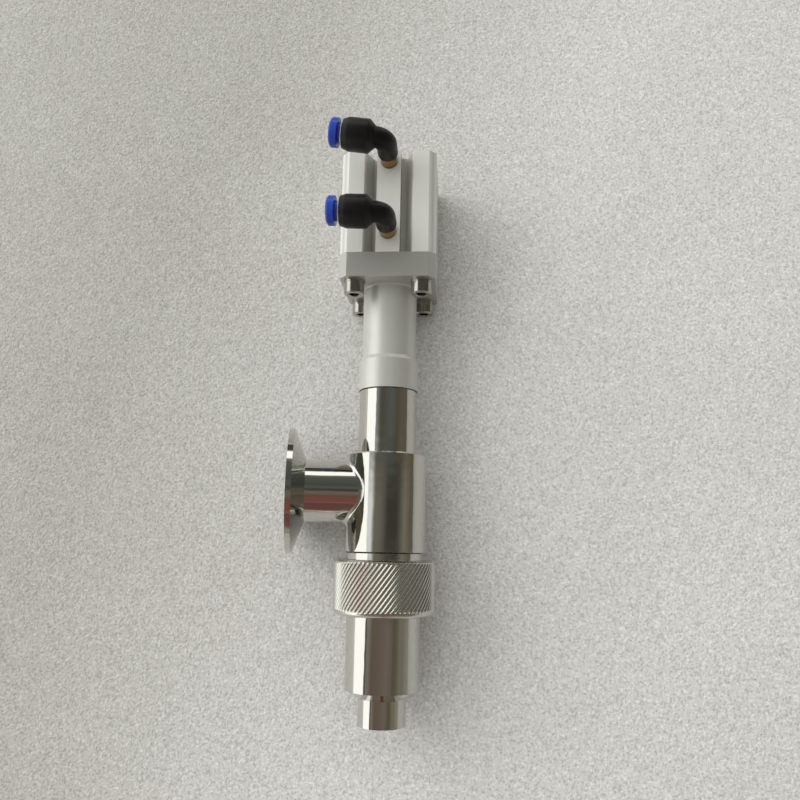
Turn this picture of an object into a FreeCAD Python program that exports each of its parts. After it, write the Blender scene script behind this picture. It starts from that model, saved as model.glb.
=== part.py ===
import FreeCAD, Part
import math
import os

from FreeCAD import Placement, Rotation, Vector

# Anti-drip filling nozzle, in millimetres.
# The nozzle stands upright in its working attitude: +Z runs from the spout to the air cylinder,
# the air ports face -Y and the product inlet points to -X.
# The origin is the centre of the spout's outlet.

# Clearances
RUNNING_GAP = 0.05          # radial, between parts that slide or turn on each other
SEAT_GAP = 0.02             # radial, between parts that are fitted and stay still
FACE_GAP = 0.3              # axial, between faces that move apart
THREAD_GAP = 0.08           # radial, between the union thread's two halves
SEAL_BEVEL = 0.25           # corner of a seal ring, as a share of its smaller side
COINCIDENT = 1e-6

# Discharge nozzle
SPOUT_DIAMETER = 19.0
SPOUT_WALL = 1.6
SPOUT_LENGTH = 10.2
SHOULDER_HEIGHT = 3.2
NOZZLE_DIAMETER = 29.9
NOZZLE_WALL = 2.6
NOZZLE_EXPOSED = 28.3       # straight body between the shoulder and the union nut
SEAT_CONE_HEIGHT = 5.3      # the bore opens out above the spout
NOZZLE_FLANGE_STEP = 0.9    # radial, from the straight body to the flange in the union nut
NOZZLE_FLANGE_HEIGHT = 3.0

# Union nut
NUT_DIAMETER = 40.8
NUT_HEIGHT = 21.4
NUT_LIP = 5.4
NUT_EDGE = 1.8
NUT_MOUTH = 0.7
UNION_THREAD_STEP = 0.42    # radial, from the nozzle's flange to the thread that it passes
GASKET_THICKNESS = 1.6
GASKET_SUNK = 0.8
GASKET_RIM = 1.1            # wall that the flange leaves round the gasket

# Tee body with its side inlet
TEE_DIAMETER = 33.1
TEE_HEIGHT = 40.0
TEE_EDGE = 0.6
TEE_ROOF = 4.0
UNION_SPIGOT = 14.2         # under the tee, with the male thread
UNION_RELIEF_LENGTH = 3.6   # plain neck between the thread and the tee's shoulder
UNION_RELIEF_DEPTH = 0.9
BRANCH_DROP = 15.4          # inlet axis below the top of the tee
BRANCH_TURN = 9.0           # degrees that the inlet is screwed round towards the front
BRANCH_REACH = 40.0         # tee axis to the face of the ferrule
PIPE_DIAMETER = 25.4
PIPE_WALL = 1.5
FERRULE_DIAMETER = 50.5
FERRULE_RIM = 2.2
FERRULE_ANGLE = 20.0        # degrees of the clamping cone
FERRULE_LENGTH = 8.4
FERRULE_GROOVE_CIRCLE = 43.6
FERRULE_GROOVE_RADIUS = 1.7
WELD_WIDTH = 1.7
WELD_HEIGHT = 1.2

# Guide tube between the tee and the cylinder adapter
GUIDE_DIAMETER = 23.9
GUIDE_EXPOSED = 26.5
GUIDE_LOWER_SPIGOT = 20.0
GUIDE_UPPER_SPIGOT = 18.0
GUIDE_UPPER_LENGTH = 12.0
COLLAR_GAP = 0.4            # open joint between the guide tube and the adapter's collar
STEM_PASSAGE = 9.0
SEAL_POCKET_DIAMETER = 14.0
STEM_SEAL_HEIGHT = 3.2
STEM_SEAL_NOTCH_WIDTH = 1.2
STEM_SEAL_NOTCH_DEPTH = 1.6
SEAL_SPACER_HEIGHT = 2.0
SEAL_RETAINER_HEIGHT = 1.6
RETAINER_SLOT_WIDTH = 1.6
RETAINER_SLOT_DEPTH = 0.8
STEM_BUSH_DIAMETER = 12.0
STEM_BUSH_HEAD = 16.0
STEM_BUSH_HEAD_HEIGHT = 2.0
GUIDE_SEAL_SECTION = 1.8

# Cylinder adapter
PLATE_THICKNESS = 10.4
ADAPTER_TUBE_DIAMETER = 22.8
ADAPTER_BORE = 17.0
COLLAR_DIAMETER = 25.2
COLLAR_HEIGHT = 12.4
COLLAR_TAPER = 1.8
ADAPTER_LENGTH = 44.6       # plate face to the collar's lower edge
ADAPTER_FILLET = 1.0

# Compact air cylinder
CYLINDER_SIDE = 40.0
CYLINDER_LENGTH = 45.0
CORNER_CHAMFER = 3.1
CYLINDER_BORE = 25.0
CYLINDER_WALL = 2.0
PORT_RIB_WIDTH = 10.0       # flat rib in the middle of each side
GROOVE_MOUTH = 5.4
GROOVE_FLOOR = 2.0
STROKE = 15.0
SCREW_GRID = 28.0
TAPPED_DEPTH = 12.0         # for the screws at the rod end
COLUMN_HOLE = 4.3           # runs through each corner, with an M5 thread at the rear end
REAR_PORT = 4.5             # port axis to the rear end
FRONT_PORT = 9.2            # port axis to the rod end
PORT_THREAD = 5.0
PORT_DEPTH = 4.5
PORT_DRILL = 2.0
CIRCLIP_INSET = 0.3
CIRCLIP_THICKNESS = 1.0
CIRCLIP_GROOVE = 26.6
CIRCLIP_WIDTH = 2.4
CIRCLIP_EAR = 4.8
CIRCLIP_EYE = 1.7
CIRCLIP_OPENING = 50.0      # degrees left open between the circlip's ears
REAR_COVER_THICKNESS = 2.1
FRONT_COVER_THICKNESS = 6.5
COVER_NOSE_DIAMETER = 19.0
REAR_NOSE_HEIGHT = 2.8
FRONT_NOSE_HEIGHT = 3.2
COVER_SEAL_SECTION = 1.0
COVER_KEY_HOLE = 2.0
COVER_KEY_CIRCLE = 17.0

# Piston, rod and valve stem
PISTON_GAP = 0.08
PISTON_SEAL_WIDTH = 3.0
PISTON_SEAL_SECTION = 2.6
WEAR_RING_WIDTH = 3.2
WEAR_RING_SECTION = 1.0
WEAR_RING_SLIT = 1.0
ROD_DIAMETER = 10.0
ROD_EDGE = 0.5
ROD_SPIGOT = 6.0
ROD_EXPOSED = 24.0          # rod below the cylinder's end when it is out
ROD_SOCKET_DEPTH = 14.0
ROD_BUSH_DIAMETER = 13.0
ROD_SEAL_DIAMETER = 15.0
ROD_SEAL_HEIGHT = 2.4
ROD_SEAL_LIP = 0.8
PISTON_NUT_FLATS = 10.0
PISTON_NUT_HEIGHT = 3.2
PISTON_POCKET = 12.6
STEM_DIAMETER = 8.0
STEM_THREAD = 6.0
LOCK_NUT_FLATS = 10.0
LOCK_NUT_HEIGHT = 5.0

# Closing plug
PLUG_GAP = 0.3
PLUG_INSET = 0.3            # plug face inside the spout's edge
PLUG_BEVEL = 0.5
PLUG_SEAL_HEIGHT = 3.6      # plug face to the seal's lower side
PLUG_SEAL_SECTION = 2.0
PLUG_SKIRT = 7.4            # plug face to the top of its straight side
PLUG_LENGTH = 13.0
PLUG_THREAD = 5.0
PLUG_THREAD_LENGTH = 8.0

# Screws between the adapter plate and the cylinder, each on a spring washer
SCREW_DIAMETER = 5.0
SCREW_HEAD_DIAMETER = 8.5
SCREW_HEAD_HEIGHT = 5.0
SCREW_EDGE = 0.4
SCREW_HEX = 4.0
SCREW_HEX_DEPTH = 2.5
SCREW_HEX_ENTRY = 5.2       # across the 120 degree countersink at the socket's mouth
SCREW_BITE = 10.0           # length in the cylinder
SCREW_HOLE = 5.5
SPRING_WASHER_THICKNESS = 1.2
SPRING_WASHER_OUTER = 9.0
SPRING_WASHER_HOLE = 5.1
SPRING_WASHER_SLIT = 0.8

# Push-in elbows for the air tubes
ELBOW_HEIGHT = 17.9         # port face to the tube axis
WASHER_THICKNESS = 0.8
BRASS_DIAMETER = 7.2
BRASS_HEIGHT = 6.2
BRASS_BORE = 2.5
SWIVEL_DIAMETER = 5.2
SWIVEL_LENGTH = 6.0
SWIVEL_SEAL_SECTION = 0.9
SWIVEL_SEAL_HEIGHT = 2.6
LEG_FOOT_DIAMETER = 8.4
LEG_DIAMETER = 9.0
NECK_REACH = 4.4            # port axis to the start of the barrel's shoulder
BARREL_DIAMETER = 13.4
BARREL_LENGTH = 12.8
BARREL_SHOULDER = 2.4
MOUTH_TAPER_LENGTH = 2.6
MOUTH_TAPER_DEPTH = 0.9
AIR_PASSAGE = 3.6
TUBE_DIAMETER = 6.0
TUBE_GAP = 0.08
TUBE_DEPTH = 10.8           # barrel mouth to the stop of the air tube
TUBE_SEAL_DEPTH = 8.2       # barrel mouth to the seal's inner end
TUBE_SEAL_WIDTH = 2.2
TUBE_SEAL_DIAMETER = 10.0
CLAW_DEPTH = 5.6            # barrel mouth to the claw ring's inner side
CLAW_THICKNESS = 0.4
CLAW_CONE = 0.6
CLAW_SLITS = 8
CLAW_SLIT_WIDTH = 0.8
COLLAR_RING_DEPTH = 4.0     # barrel mouth to the collar ring's inner end
COLLAR_RING_DIAMETER = 10.8
COLLAR_RING_PROUD = 0.4
RELEASE_SLEEVE_DIAMETER = 8.2
RELEASE_SLEEVE_GAP = 0.08
RELEASE_DIAMETER = 11.8
RELEASE_THICKNESS = 3.2
RELEASE_TRAVEL = 1.5
RELEASE_EDGE = 0.8
RELEASE_BORE_EDGE = 0.4
UPPER_ELBOW_TURN = 8.0      # degrees that the upper elbow's tube end is swung up
LOWER_ELBOW_TURN = 2.0

# Diameters of the bores and at the union
SPOUT_BORE = SPOUT_DIAMETER - 2 * SPOUT_WALL
PRODUCT_BORE = NOZZLE_DIAMETER - 2 * NOZZLE_WALL
NOZZLE_FLANGE_DIAMETER = NOZZLE_DIAMETER + 2 * NOZZLE_FLANGE_STEP
UNION_THREAD = NOZZLE_FLANGE_DIAMETER + 2 * UNION_THREAD_STEP    # male, 1.5 mm pitch
GASKET_DIAMETER = NOZZLE_FLANGE_DIAMETER - 2 * GASKET_RIM

# Heights along the nozzle's axis
NUT_BOTTOM = SPOUT_LENGTH + SHOULDER_HEIGHT + NOZZLE_EXPOSED
NUT_LIP_TOP = NUT_BOTTOM + NUT_LIP
NUT_TOP = NUT_BOTTOM + NUT_HEIGHT
FLANGE_BOTTOM = NUT_LIP_TOP + FACE_GAP
FLANGE_TOP = FLANGE_BOTTOM + NOZZLE_FLANGE_HEIGHT
GASKET_BOTTOM = FLANGE_TOP - GASKET_SUNK
GASKET_TOP = GASKET_BOTTOM + GASKET_THICKNESS
SPIGOT_END = GASKET_TOP + FACE_GAP
TEE_BOTTOM = SPIGOT_END + UNION_SPIGOT
TEE_TOP = TEE_BOTTOM + TEE_HEIGHT
TEE_CEILING = TEE_TOP - TEE_ROOF
BRANCH_LEVEL = TEE_TOP - BRANCH_DROP
GUIDE_SHOULDER = TEE_TOP + GUIDE_EXPOSED
COLLAR_BOTTOM = GUIDE_SHOULDER + COLLAR_GAP
COLLAR_TOP = COLLAR_BOTTOM + COLLAR_HEIGHT
GUIDE_TOP = COLLAR_BOTTOM + GUIDE_UPPER_LENGTH
PLATE_BOTTOM = COLLAR_BOTTOM + ADAPTER_LENGTH
CYLINDER_BOTTOM = PLATE_BOTTOM + PLATE_THICKNESS
CYLINDER_TOP = CYLINDER_BOTTOM + CYLINDER_LENGTH
LOWER_PORT_LEVEL = CYLINDER_BOTTOM + FRONT_PORT
UPPER_PORT_LEVEL = CYLINDER_TOP - REAR_PORT
FRONT_COVER_BOTTOM = CYLINDER_BOTTOM + CIRCLIP_INSET + CIRCLIP_THICKNESS
FRONT_COVER_TOP = FRONT_COVER_BOTTOM + FRONT_COVER_THICKNESS
FRONT_NOSE_TOP = FRONT_COVER_TOP + FRONT_NOSE_HEIGHT
REAR_COVER_TOP = CYLINDER_TOP - CIRCLIP_INSET - CIRCLIP_THICKNESS
REAR_COVER_BOTTOM = REAR_COVER_TOP - REAR_COVER_THICKNESS
REAR_NOSE_BOTTOM = REAR_COVER_BOTTOM - REAR_NOSE_HEIGHT
PISTON_BOTTOM = FRONT_NOSE_TOP + FACE_GAP
PISTON_TOP = REAR_NOSE_BOTTOM - FACE_GAP - STROKE
ROD_END = CYLINDER_BOTTOM - ROD_EXPOSED
STEM_TOP = ROD_END - LOCK_NUT_HEIGHT
PORT_FACE = CYLINDER_SIDE / 2


def turned(points):
    """Solid of revolution about Z from a closed outline of (radius, height) points."""
    corners = [Vector(radius, 0, height) for radius, height in points]
    outline = Part.makePolygon(corners + corners[:1])
    return Part.Face(outline).revolve(Vector(0, 0, 0), Vector(0, 0, 1), 360)


def ring(inner_diameter, outer_diameter, low, high):
    inner = inner_diameter / 2
    outer = outer_diameter / 2
    return turned([(inner, low), (outer, low), (outer, high), (inner, high)])


def seal_ring(inner_diameter, outer_diameter, low, high):
    """Ring of seal section: a rectangle with its four corners cut."""
    inner = inner_diameter / 2
    outer = outer_diameter / 2
    bevel = SEAL_BEVEL * min(outer - inner, high - low)
    return turned([
        (inner + bevel, low), (outer - bevel, low), (outer, low + bevel), (outer, high - bevel),
        (outer - bevel, high), (inner + bevel, high), (inner, high - bevel), (inner, low + bevel),
    ])


def bar(diameter, low, high, x=0, y=0):
    return Part.makeCylinder(diameter / 2, high - low, Vector(x, y, low))


def prism(points, low, high):
    corners = [Vector(x, y, low) for x, y in points]
    outline = Part.makePolygon(corners + corners[:1])
    return Part.Face(outline).extrude(Vector(0, 0, high - low))


def hexagon(across_flats, low, high):
    reach = across_flats / math.sqrt(3)
    angles = [math.radians(60 * step) for step in range(6)]
    return prism([(reach * math.cos(angle), reach * math.sin(angle)) for angle in angles], low, high)


def screw_places():
    half = SCREW_GRID / 2
    return [(x, y) for x in (-half, half) for y in (-half, half)]


def square_block(low, high):
    """Square prism with the cylinder's chamfered corners."""
    far = CYLINDER_SIDE / 2
    near = far - CORNER_CHAMFER
    return prism([
        (-near, -far), (near, -far), (far, -near), (far, near),
        (near, far), (-near, far), (-far, near), (-far, -near),
    ], low, high)


def edges_at(shape, height, diameter):
    """Circular edges of a shape at one height and diameter."""
    found = []
    for edge in shape.Edges:
        curve = edge.Curve
        if not isinstance(curve, Part.Circle):
            continue
        level = abs(curve.Center.z - height) < COINCIDENT
        if level and abs(2 * curve.Radius - diameter) < COINCIDENT:
            found.append(edge)
    return found


def nozzle_body():
    outer = NOZZLE_DIAMETER / 2
    spout = SPOUT_DIAMETER / 2
    flange = NOZZLE_FLANGE_DIAMETER / 2
    bore = PRODUCT_BORE / 2
    seat = SPOUT_BORE / 2
    gasket = GASKET_DIAMETER / 2
    return turned([
        (seat, 0), (spout, 0), (spout, SPOUT_LENGTH),
        (outer, SPOUT_LENGTH + SHOULDER_HEIGHT), (outer, FLANGE_BOTTOM), (flange, FLANGE_BOTTOM),
        (flange, FLANGE_TOP), (gasket, FLANGE_TOP), (gasket, GASKET_BOTTOM), (bore, GASKET_BOTTOM),
        (bore, SPOUT_LENGTH + SEAT_CONE_HEIGHT), (seat, SPOUT_LENGTH),
    ])


def nozzle_gasket():
    return ring(PRODUCT_BORE, GASKET_DIAMETER - 2 * SEAT_GAP, GASKET_BOTTOM, GASKET_TOP)


def union_nut():
    hole = NOZZLE_DIAMETER / 2 + RUNNING_GAP
    thread = UNION_THREAD / 2 + THREAD_GAP
    outer = NUT_DIAMETER / 2
    nut = turned([
        (hole, NUT_BOTTOM), (outer, NUT_BOTTOM), (outer, NUT_TOP - NUT_MOUTH),
        (outer - NUT_MOUTH, NUT_TOP), (thread + NUT_MOUTH, NUT_TOP), (thread, NUT_TOP - NUT_MOUTH),
        (thread, NUT_LIP_TOP), (hole, NUT_LIP_TOP),
    ])
    return nut.makeFillet(NUT_EDGE, edges_at(nut, NUT_BOTTOM, NUT_DIAMETER))


def place_branch(shape):
    """Turn a shape made along +Z onto the inlet's axis, which starts at the tee's axis."""
    shape = shape.copy()
    shape.Placement = Placement(Vector(0, 0, BRANCH_LEVEL), Rotation(Vector(0, 1, 0), -90))
    shape.rotate(Vector(0, 0, 0), Vector(0, 0, 1), BRANCH_TURN)
    return shape


def tee_body():
    outer = TEE_DIAMETER / 2
    thread = UNION_THREAD / 2
    neck = thread - UNION_RELIEF_DEPTH
    thread_top = TEE_BOTTOM - UNION_RELIEF_LENGTH
    bore = PRODUCT_BORE / 2
    hole = GUIDE_LOWER_SPIGOT / 2 + SEAT_GAP
    body = turned([
        (bore, SPIGOT_END), (thread - TEE_EDGE, SPIGOT_END), (thread, SPIGOT_END + TEE_EDGE),
        (thread, thread_top - UNION_RELIEF_DEPTH), (neck, thread_top), (neck, TEE_BOTTOM),
        (outer - TEE_EDGE, TEE_BOTTOM), (outer, TEE_BOTTOM + TEE_EDGE), (outer, TEE_TOP - TEE_EDGE),
        (outer - TEE_EDGE, TEE_TOP), (hole, TEE_TOP), (hole, TEE_CEILING), (bore, TEE_CEILING),
    ])
    return body.cut(place_branch(bar(PIPE_DIAMETER + 2 * SEAT_GAP, 0, BRANCH_REACH)))


def inlet_pipe():
    bore = PIPE_DIAMETER - 2 * PIPE_WALL
    pipe = place_branch(ring(bore, PIPE_DIAMETER, 0, BRANCH_REACH - FERRULE_LENGTH))
    return pipe.cut(bar(PRODUCT_BORE, TEE_BOTTOM, TEE_TOP))


def inlet_weld():
    """Bead of weld on the saddle line where the inlet pipe meets the tee."""
    around_pipe = place_branch(ring(
        PIPE_DIAMETER + 2 * SEAT_GAP, PIPE_DIAMETER + 2 * WELD_WIDTH, 0, BRANCH_REACH - FERRULE_LENGTH))
    around_tee = ring(TEE_DIAMETER, TEE_DIAMETER + 2 * WELD_HEIGHT, TEE_BOTTOM, TEE_TOP)
    return around_pipe.common(around_tee)


def inlet_ferrule():
    rim = FERRULE_DIAMETER / 2
    hub = PIPE_DIAMETER / 2
    bore = hub - PIPE_WALL
    face = BRANCH_REACH
    back = face - FERRULE_RIM
    cone_foot = back - (rim - hub) * math.tan(math.radians(FERRULE_ANGLE))
    ferrule = turned([
        (bore, face - FERRULE_LENGTH), (hub, face - FERRULE_LENGTH), (hub, cone_foot),
        (rim, back), (rim, face), (bore, face),
    ])
    groove = Part.makeTorus(
        FERRULE_GROOVE_CIRCLE / 2, FERRULE_GROOVE_RADIUS, Vector(0, 0, face), Vector(0, 0, 1))
    return place_branch(ferrule.cut(groove))


def guide_tube():
    outer = GUIDE_DIAMETER / 2
    lower = GUIDE_LOWER_SPIGOT / 2
    upper = GUIDE_UPPER_SPIGOT / 2
    passage = STEM_PASSAGE / 2
    pocket = SEAL_POCKET_DIAMETER / 2
    bush = STEM_BUSH_DIAMETER / 2
    pocket_top = TEE_CEILING + 2 * STEM_SEAL_HEIGHT + SEAL_SPACER_HEIGHT + SEAL_RETAINER_HEIGHT
    seal_bottom = (TEE_CEILING + TEE_TOP - GUIDE_SEAL_SECTION) / 2
    seal_top = seal_bottom + GUIDE_SEAL_SECTION
    seal_floor = lower - GUIDE_SEAL_SECTION + 2 * SEAT_GAP
    return turned([
        (pocket, TEE_CEILING), (lower, TEE_CEILING), (lower, seal_bottom), (seal_floor, seal_bottom),
        (seal_floor, seal_top), (lower, seal_top), (lower, TEE_TOP), (outer, TEE_TOP),
        (outer, GUIDE_SHOULDER), (upper, GUIDE_SHOULDER), (upper, GUIDE_TOP), (bush, GUIDE_TOP),
        (bush, COLLAR_BOTTOM), (passage, COLLAR_BOTTOM), (passage, pocket_top), (pocket, pocket_top),
    ])


def guide_tube_seal():
    outer = GUIDE_LOWER_SPIGOT
    inner = outer - 2 * GUIDE_SEAL_SECTION + 4 * SEAT_GAP
    low = (TEE_CEILING + TEE_TOP - GUIDE_SEAL_SECTION) / 2
    return seal_ring(inner, outer, low, low + GUIDE_SEAL_SECTION)


def stem_seal(low):
    """Lip seal on the stem, with the energising notch in its pressure side."""
    inner = STEM_DIAMETER / 2 + RUNNING_GAP
    outer = SEAL_POCKET_DIAMETER / 2 - SEAT_GAP
    middle = (inner + outer) / 2
    notch = STEM_SEAL_NOTCH_WIDTH / 2
    high = low + STEM_SEAL_HEIGHT
    return turned([
        (inner, low), (middle - notch, low), (middle, low + STEM_SEAL_NOTCH_DEPTH),
        (middle + notch, low), (outer, low), (outer, high), (inner, high),
    ])


def seal_retainer():
    inner = STEM_DIAMETER + 4 * RUNNING_GAP
    low = TEE_CEILING
    retainer = ring(inner, SEAL_POCKET_DIAMETER - 2 * SEAT_GAP, low, low + SEAL_RETAINER_HEIGHT)
    slot = Part.makeBox(
        SEAL_POCKET_DIAMETER, RETAINER_SLOT_WIDTH, RETAINER_SLOT_DEPTH,
        Vector(-SEAL_POCKET_DIAMETER / 2, -RETAINER_SLOT_WIDTH / 2, low))
    return retainer.cut(slot)


def seal_spacer(low):
    inner = STEM_DIAMETER + 4 * RUNNING_GAP
    return ring(inner, SEAL_POCKET_DIAMETER - 2 * SEAT_GAP, low, low + SEAL_SPACER_HEIGHT)


def stem_bush():
    inner = STEM_DIAMETER / 2 + RUNNING_GAP
    sleeve = STEM_BUSH_DIAMETER / 2 - SEAT_GAP
    head = STEM_BUSH_HEAD / 2
    return turned([
        (inner, COLLAR_BOTTOM), (sleeve, COLLAR_BOTTOM), (sleeve, GUIDE_TOP), (head, GUIDE_TOP),
        (head, GUIDE_TOP + STEM_BUSH_HEAD_HEIGHT), (inner, GUIDE_TOP + STEM_BUSH_HEAD_HEIGHT),
    ])


def adapter_flange():
    tube = ADAPTER_TUBE_DIAMETER / 2
    collar = COLLAR_DIAMETER / 2
    bore = ADAPTER_BORE / 2
    thread = GUIDE_UPPER_SPIGOT / 2 + SEAT_GAP
    neck = turned([
        (thread, COLLAR_BOTTOM), (collar, COLLAR_BOTTOM), (collar, COLLAR_TOP),
        (tube, COLLAR_TOP + COLLAR_TAPER), (tube, PLATE_BOTTOM), (tube, CYLINDER_BOTTOM),
        (bore, CYLINDER_BOTTOM), (bore, GUIDE_TOP), (thread, GUIDE_TOP),
    ])
    plate = square_block(PLATE_BOTTOM, CYLINDER_BOTTOM)
    plate = plate.cut(bar(ADAPTER_BORE, PLATE_BOTTOM, CYLINDER_BOTTOM))
    for x, y in screw_places():
        plate = plate.cut(bar(SCREW_HOLE, PLATE_BOTTOM, CYLINDER_BOTTOM, x, y))
    flange = plate.fuse(neck).removeSplitter()
    return flange.makeFillet(ADAPTER_FILLET, edges_at(flange, PLATE_BOTTOM, ADAPTER_TUBE_DIAMETER))


def flange_screw(x, y):
    head_top = PLATE_BOTTOM - SPRING_WASHER_THICKNESS
    head_bottom = head_top - SCREW_HEAD_HEIGHT
    edge = SCREW_EDGE
    head = SCREW_HEAD_DIAMETER / 2
    shank = SCREW_DIAMETER / 2 - SEAT_GAP
    tip = CYLINDER_BOTTOM + SCREW_BITE
    screw = turned([
        (0, head_bottom), (head - edge, head_bottom), (head, head_bottom + edge), (head, head_top),
        (shank, head_top), (shank, tip - edge), (shank - edge, tip), (0, tip),
    ])
    entry = SCREW_HEX_ENTRY / 2
    countersink = turned([
        (0, head_bottom), (entry, head_bottom), (0, head_bottom + entry * math.tan(math.radians(30)))])
    screw = screw.cut(hexagon(SCREW_HEX, head_bottom, head_bottom + SCREW_HEX_DEPTH)).cut(countersink)
    screw.translate(Vector(x, y, 0))
    return screw


def spring_washer(x, y):
    low = PLATE_BOTTOM - SPRING_WASHER_THICKNESS
    washer = ring(SPRING_WASHER_HOLE, SPRING_WASHER_OUTER, low, PLATE_BOTTOM)
    slit = Part.makeBox(
        SPRING_WASHER_OUTER, SPRING_WASHER_SLIT, SPRING_WASHER_THICKNESS,
        Vector(0, -SPRING_WASHER_SLIT / 2, low))
    washer = washer.cut(slit)
    washer.translate(Vector(x, y, 0))
    return washer


def flange_screws():
    return Part.makeCompound([flange_screw(x, y) for x, y in screw_places()])


def spring_washers():
    return Part.makeCompound([spring_washer(x, y) for x, y in screw_places()])


def groove_profile():
    """Side groove of the extrusion: an upright wall at the port rib, a floor that follows
    the bore, and a slanting wall to the screw column."""
    rib = PORT_RIB_WIDTH / 2
    side = CYLINDER_SIDE / 2
    floor_radius = CYLINDER_BORE / 2 + CYLINDER_WALL
    mouth = rib + GROOVE_MOUTH

    def on_floor(x):
        return Vector(x, -math.sqrt(floor_radius ** 2 - x ** 2), 0)

    outside = -side - CORNER_CHAMFER
    start = on_floor(rib)
    end = on_floor(rib + GROOVE_FLOOR)
    floor = Part.Arc(start, on_floor(rib + GROOVE_FLOOR / 2), end).toShape()
    walls = Part.makePolygon([
        end, Vector(mouth, -side, 0), Vector(mouth, outside, 0), Vector(rib, outside, 0), start])
    return Part.Face(Part.Wire([floor] + walls.Edges))


def cylinder_body():
    body = square_block(CYLINDER_BOTTOM, CYLINDER_TOP)
    groove = groove_profile().extrude(Vector(0, 0, CYLINDER_LENGTH))
    groove.translate(Vector(0, 0, CYLINDER_BOTTOM))
    twin = groove.mirror(Vector(0, 0, 0), Vector(1, 0, 0))
    for side in range(4):
        for cutter in (groove.copy(), twin.copy()):
            cutter.rotate(Vector(0, 0, 0), Vector(0, 0, 1), 90 * side)
            body = body.cut(cutter)
    body = body.cut(bar(CYLINDER_BORE, CYLINDER_BOTTOM, CYLINDER_TOP))
    for low in (CYLINDER_BOTTOM + CIRCLIP_INSET, REAR_COVER_TOP):
        body = body.cut(bar(CIRCLIP_GROOVE, low, low + CIRCLIP_THICKNESS))
    for x, y in screw_places():
        body = body.cut(bar(COLUMN_HOLE, CYLINDER_BOTTOM, CYLINDER_TOP, x, y))
        body = body.cut(bar(SCREW_DIAMETER, CYLINDER_BOTTOM, CYLINDER_BOTTOM + TAPPED_DEPTH, x, y))
    for level in (LOWER_PORT_LEVEL, UPPER_PORT_LEVEL):
        mouth = Vector(0, -PORT_FACE, level)
        inward = Vector(0, 1, 0)
        body = body.cut(Part.makeCylinder(PORT_THREAD / 2, PORT_DEPTH, mouth, inward))
        body = body.cut(Part.makeCylinder(PORT_DRILL / 2, PORT_FACE, mouth, inward))
    return body


def circlip(low):
    """Internal circlip with a gap and a plier eye at each end."""
    outer = CIRCLIP_GROOVE - 4 * SEAT_GAP
    high = low + CIRCLIP_THICKNESS
    clip = ring(outer - 2 * CIRCLIP_WIDTH, outer, low, high)
    reach = outer
    half = math.radians(CIRCLIP_OPENING / 2)
    wedge = prism([
        (0, 0), (reach * math.cos(half), -reach * math.sin(half)),
        (reach * math.cos(half), reach * math.sin(half)),
    ], low, high)
    clip = clip.cut(wedge)
    ear_radius = outer / 2 - CIRCLIP_WIDTH
    for side in (-1, 1):
        angle = side * (half + CIRCLIP_WIDTH / ear_radius / 2)
        x = ear_radius * math.cos(angle)
        y = ear_radius * math.sin(angle)
        ear = bar(CIRCLIP_EAR, low, high, x, y).common(bar(outer, low, high))
        clip = clip.fuse(ear.cut(wedge)).cut(bar(CIRCLIP_EYE, low, high, x, y))
    return clip.removeSplitter()


def cover_seal(cover_bottom, cover_top):
    """Seal in the groove that is half-way up a cover's rim."""
    inner = CYLINDER_BORE - 2 * COVER_SEAL_SECTION
    outer = CYLINDER_BORE - 2 * SEAT_GAP
    low = (cover_bottom + cover_top - COVER_SEAL_SECTION) / 2
    return seal_ring(inner, outer, low, low + COVER_SEAL_SECTION)


def cover_side(low, high):
    """Outline of a cover's rim, with the groove for its seal in the middle."""
    rim = CYLINDER_BORE / 2 - SEAT_GAP
    floor = CYLINDER_BORE / 2 - COVER_SEAL_SECTION
    seal_low = (low + high - COVER_SEAL_SECTION) / 2
    seal_high = seal_low + COVER_SEAL_SECTION
    return [
        (rim, low), (rim, seal_low), (floor, seal_low),
        (floor, seal_high), (rim, seal_high), (rim, high),
    ]


def rear_cover():
    nose = COVER_NOSE_DIAMETER / 2
    cover = turned(
        [(0, REAR_NOSE_BOTTOM), (nose, REAR_NOSE_BOTTOM), (nose, REAR_COVER_BOTTOM)]
        + cover_side(REAR_COVER_BOTTOM, REAR_COVER_TOP) + [(0, REAR_COVER_TOP)])
    for side in (-1, 1):
        place = side * COVER_KEY_CIRCLE / 2
        cover = cover.cut(bar(COVER_KEY_HOLE, REAR_COVER_BOTTOM, REAR_COVER_TOP, 0, place))
    return cover


def front_cover():
    """Rod-end cover: pockets for the rod seal below and the rod bush above."""
    nose = COVER_NOSE_DIAMETER / 2
    bush = ROD_BUSH_DIAMETER / 2
    seal = ROD_SEAL_DIAMETER / 2
    hole = ROD_DIAMETER / 2 + 2 * RUNNING_GAP
    seal_low = FRONT_COVER_BOTTOM + ROD_SEAL_LIP
    seal_high = seal_low + ROD_SEAL_HEIGHT
    bush_low = seal_high + ROD_SEAL_LIP
    return turned(
        [(hole, FRONT_COVER_BOTTOM)] + cover_side(FRONT_COVER_BOTTOM, FRONT_COVER_TOP)
        + [(nose, FRONT_COVER_TOP), (nose, FRONT_NOSE_TOP), (bush, FRONT_NOSE_TOP), (bush, bush_low),
           (hole, bush_low), (hole, seal_high), (seal, seal_high), (seal, seal_low), (hole, seal_low)])


def rod_bush():
    low = FRONT_COVER_BOTTOM + 2 * ROD_SEAL_LIP + ROD_SEAL_HEIGHT
    inner = ROD_DIAMETER + 2 * RUNNING_GAP
    return ring(inner, ROD_BUSH_DIAMETER - 2 * SEAT_GAP, low, FRONT_NOSE_TOP)


def rod_seal():
    low = FRONT_COVER_BOTTOM + ROD_SEAL_LIP
    inner = ROD_DIAMETER + 2 * RUNNING_GAP
    outer = ROD_SEAL_DIAMETER - 2 * SEAT_GAP
    return seal_ring(inner, outer, low, low + ROD_SEAL_HEIGHT)


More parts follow.
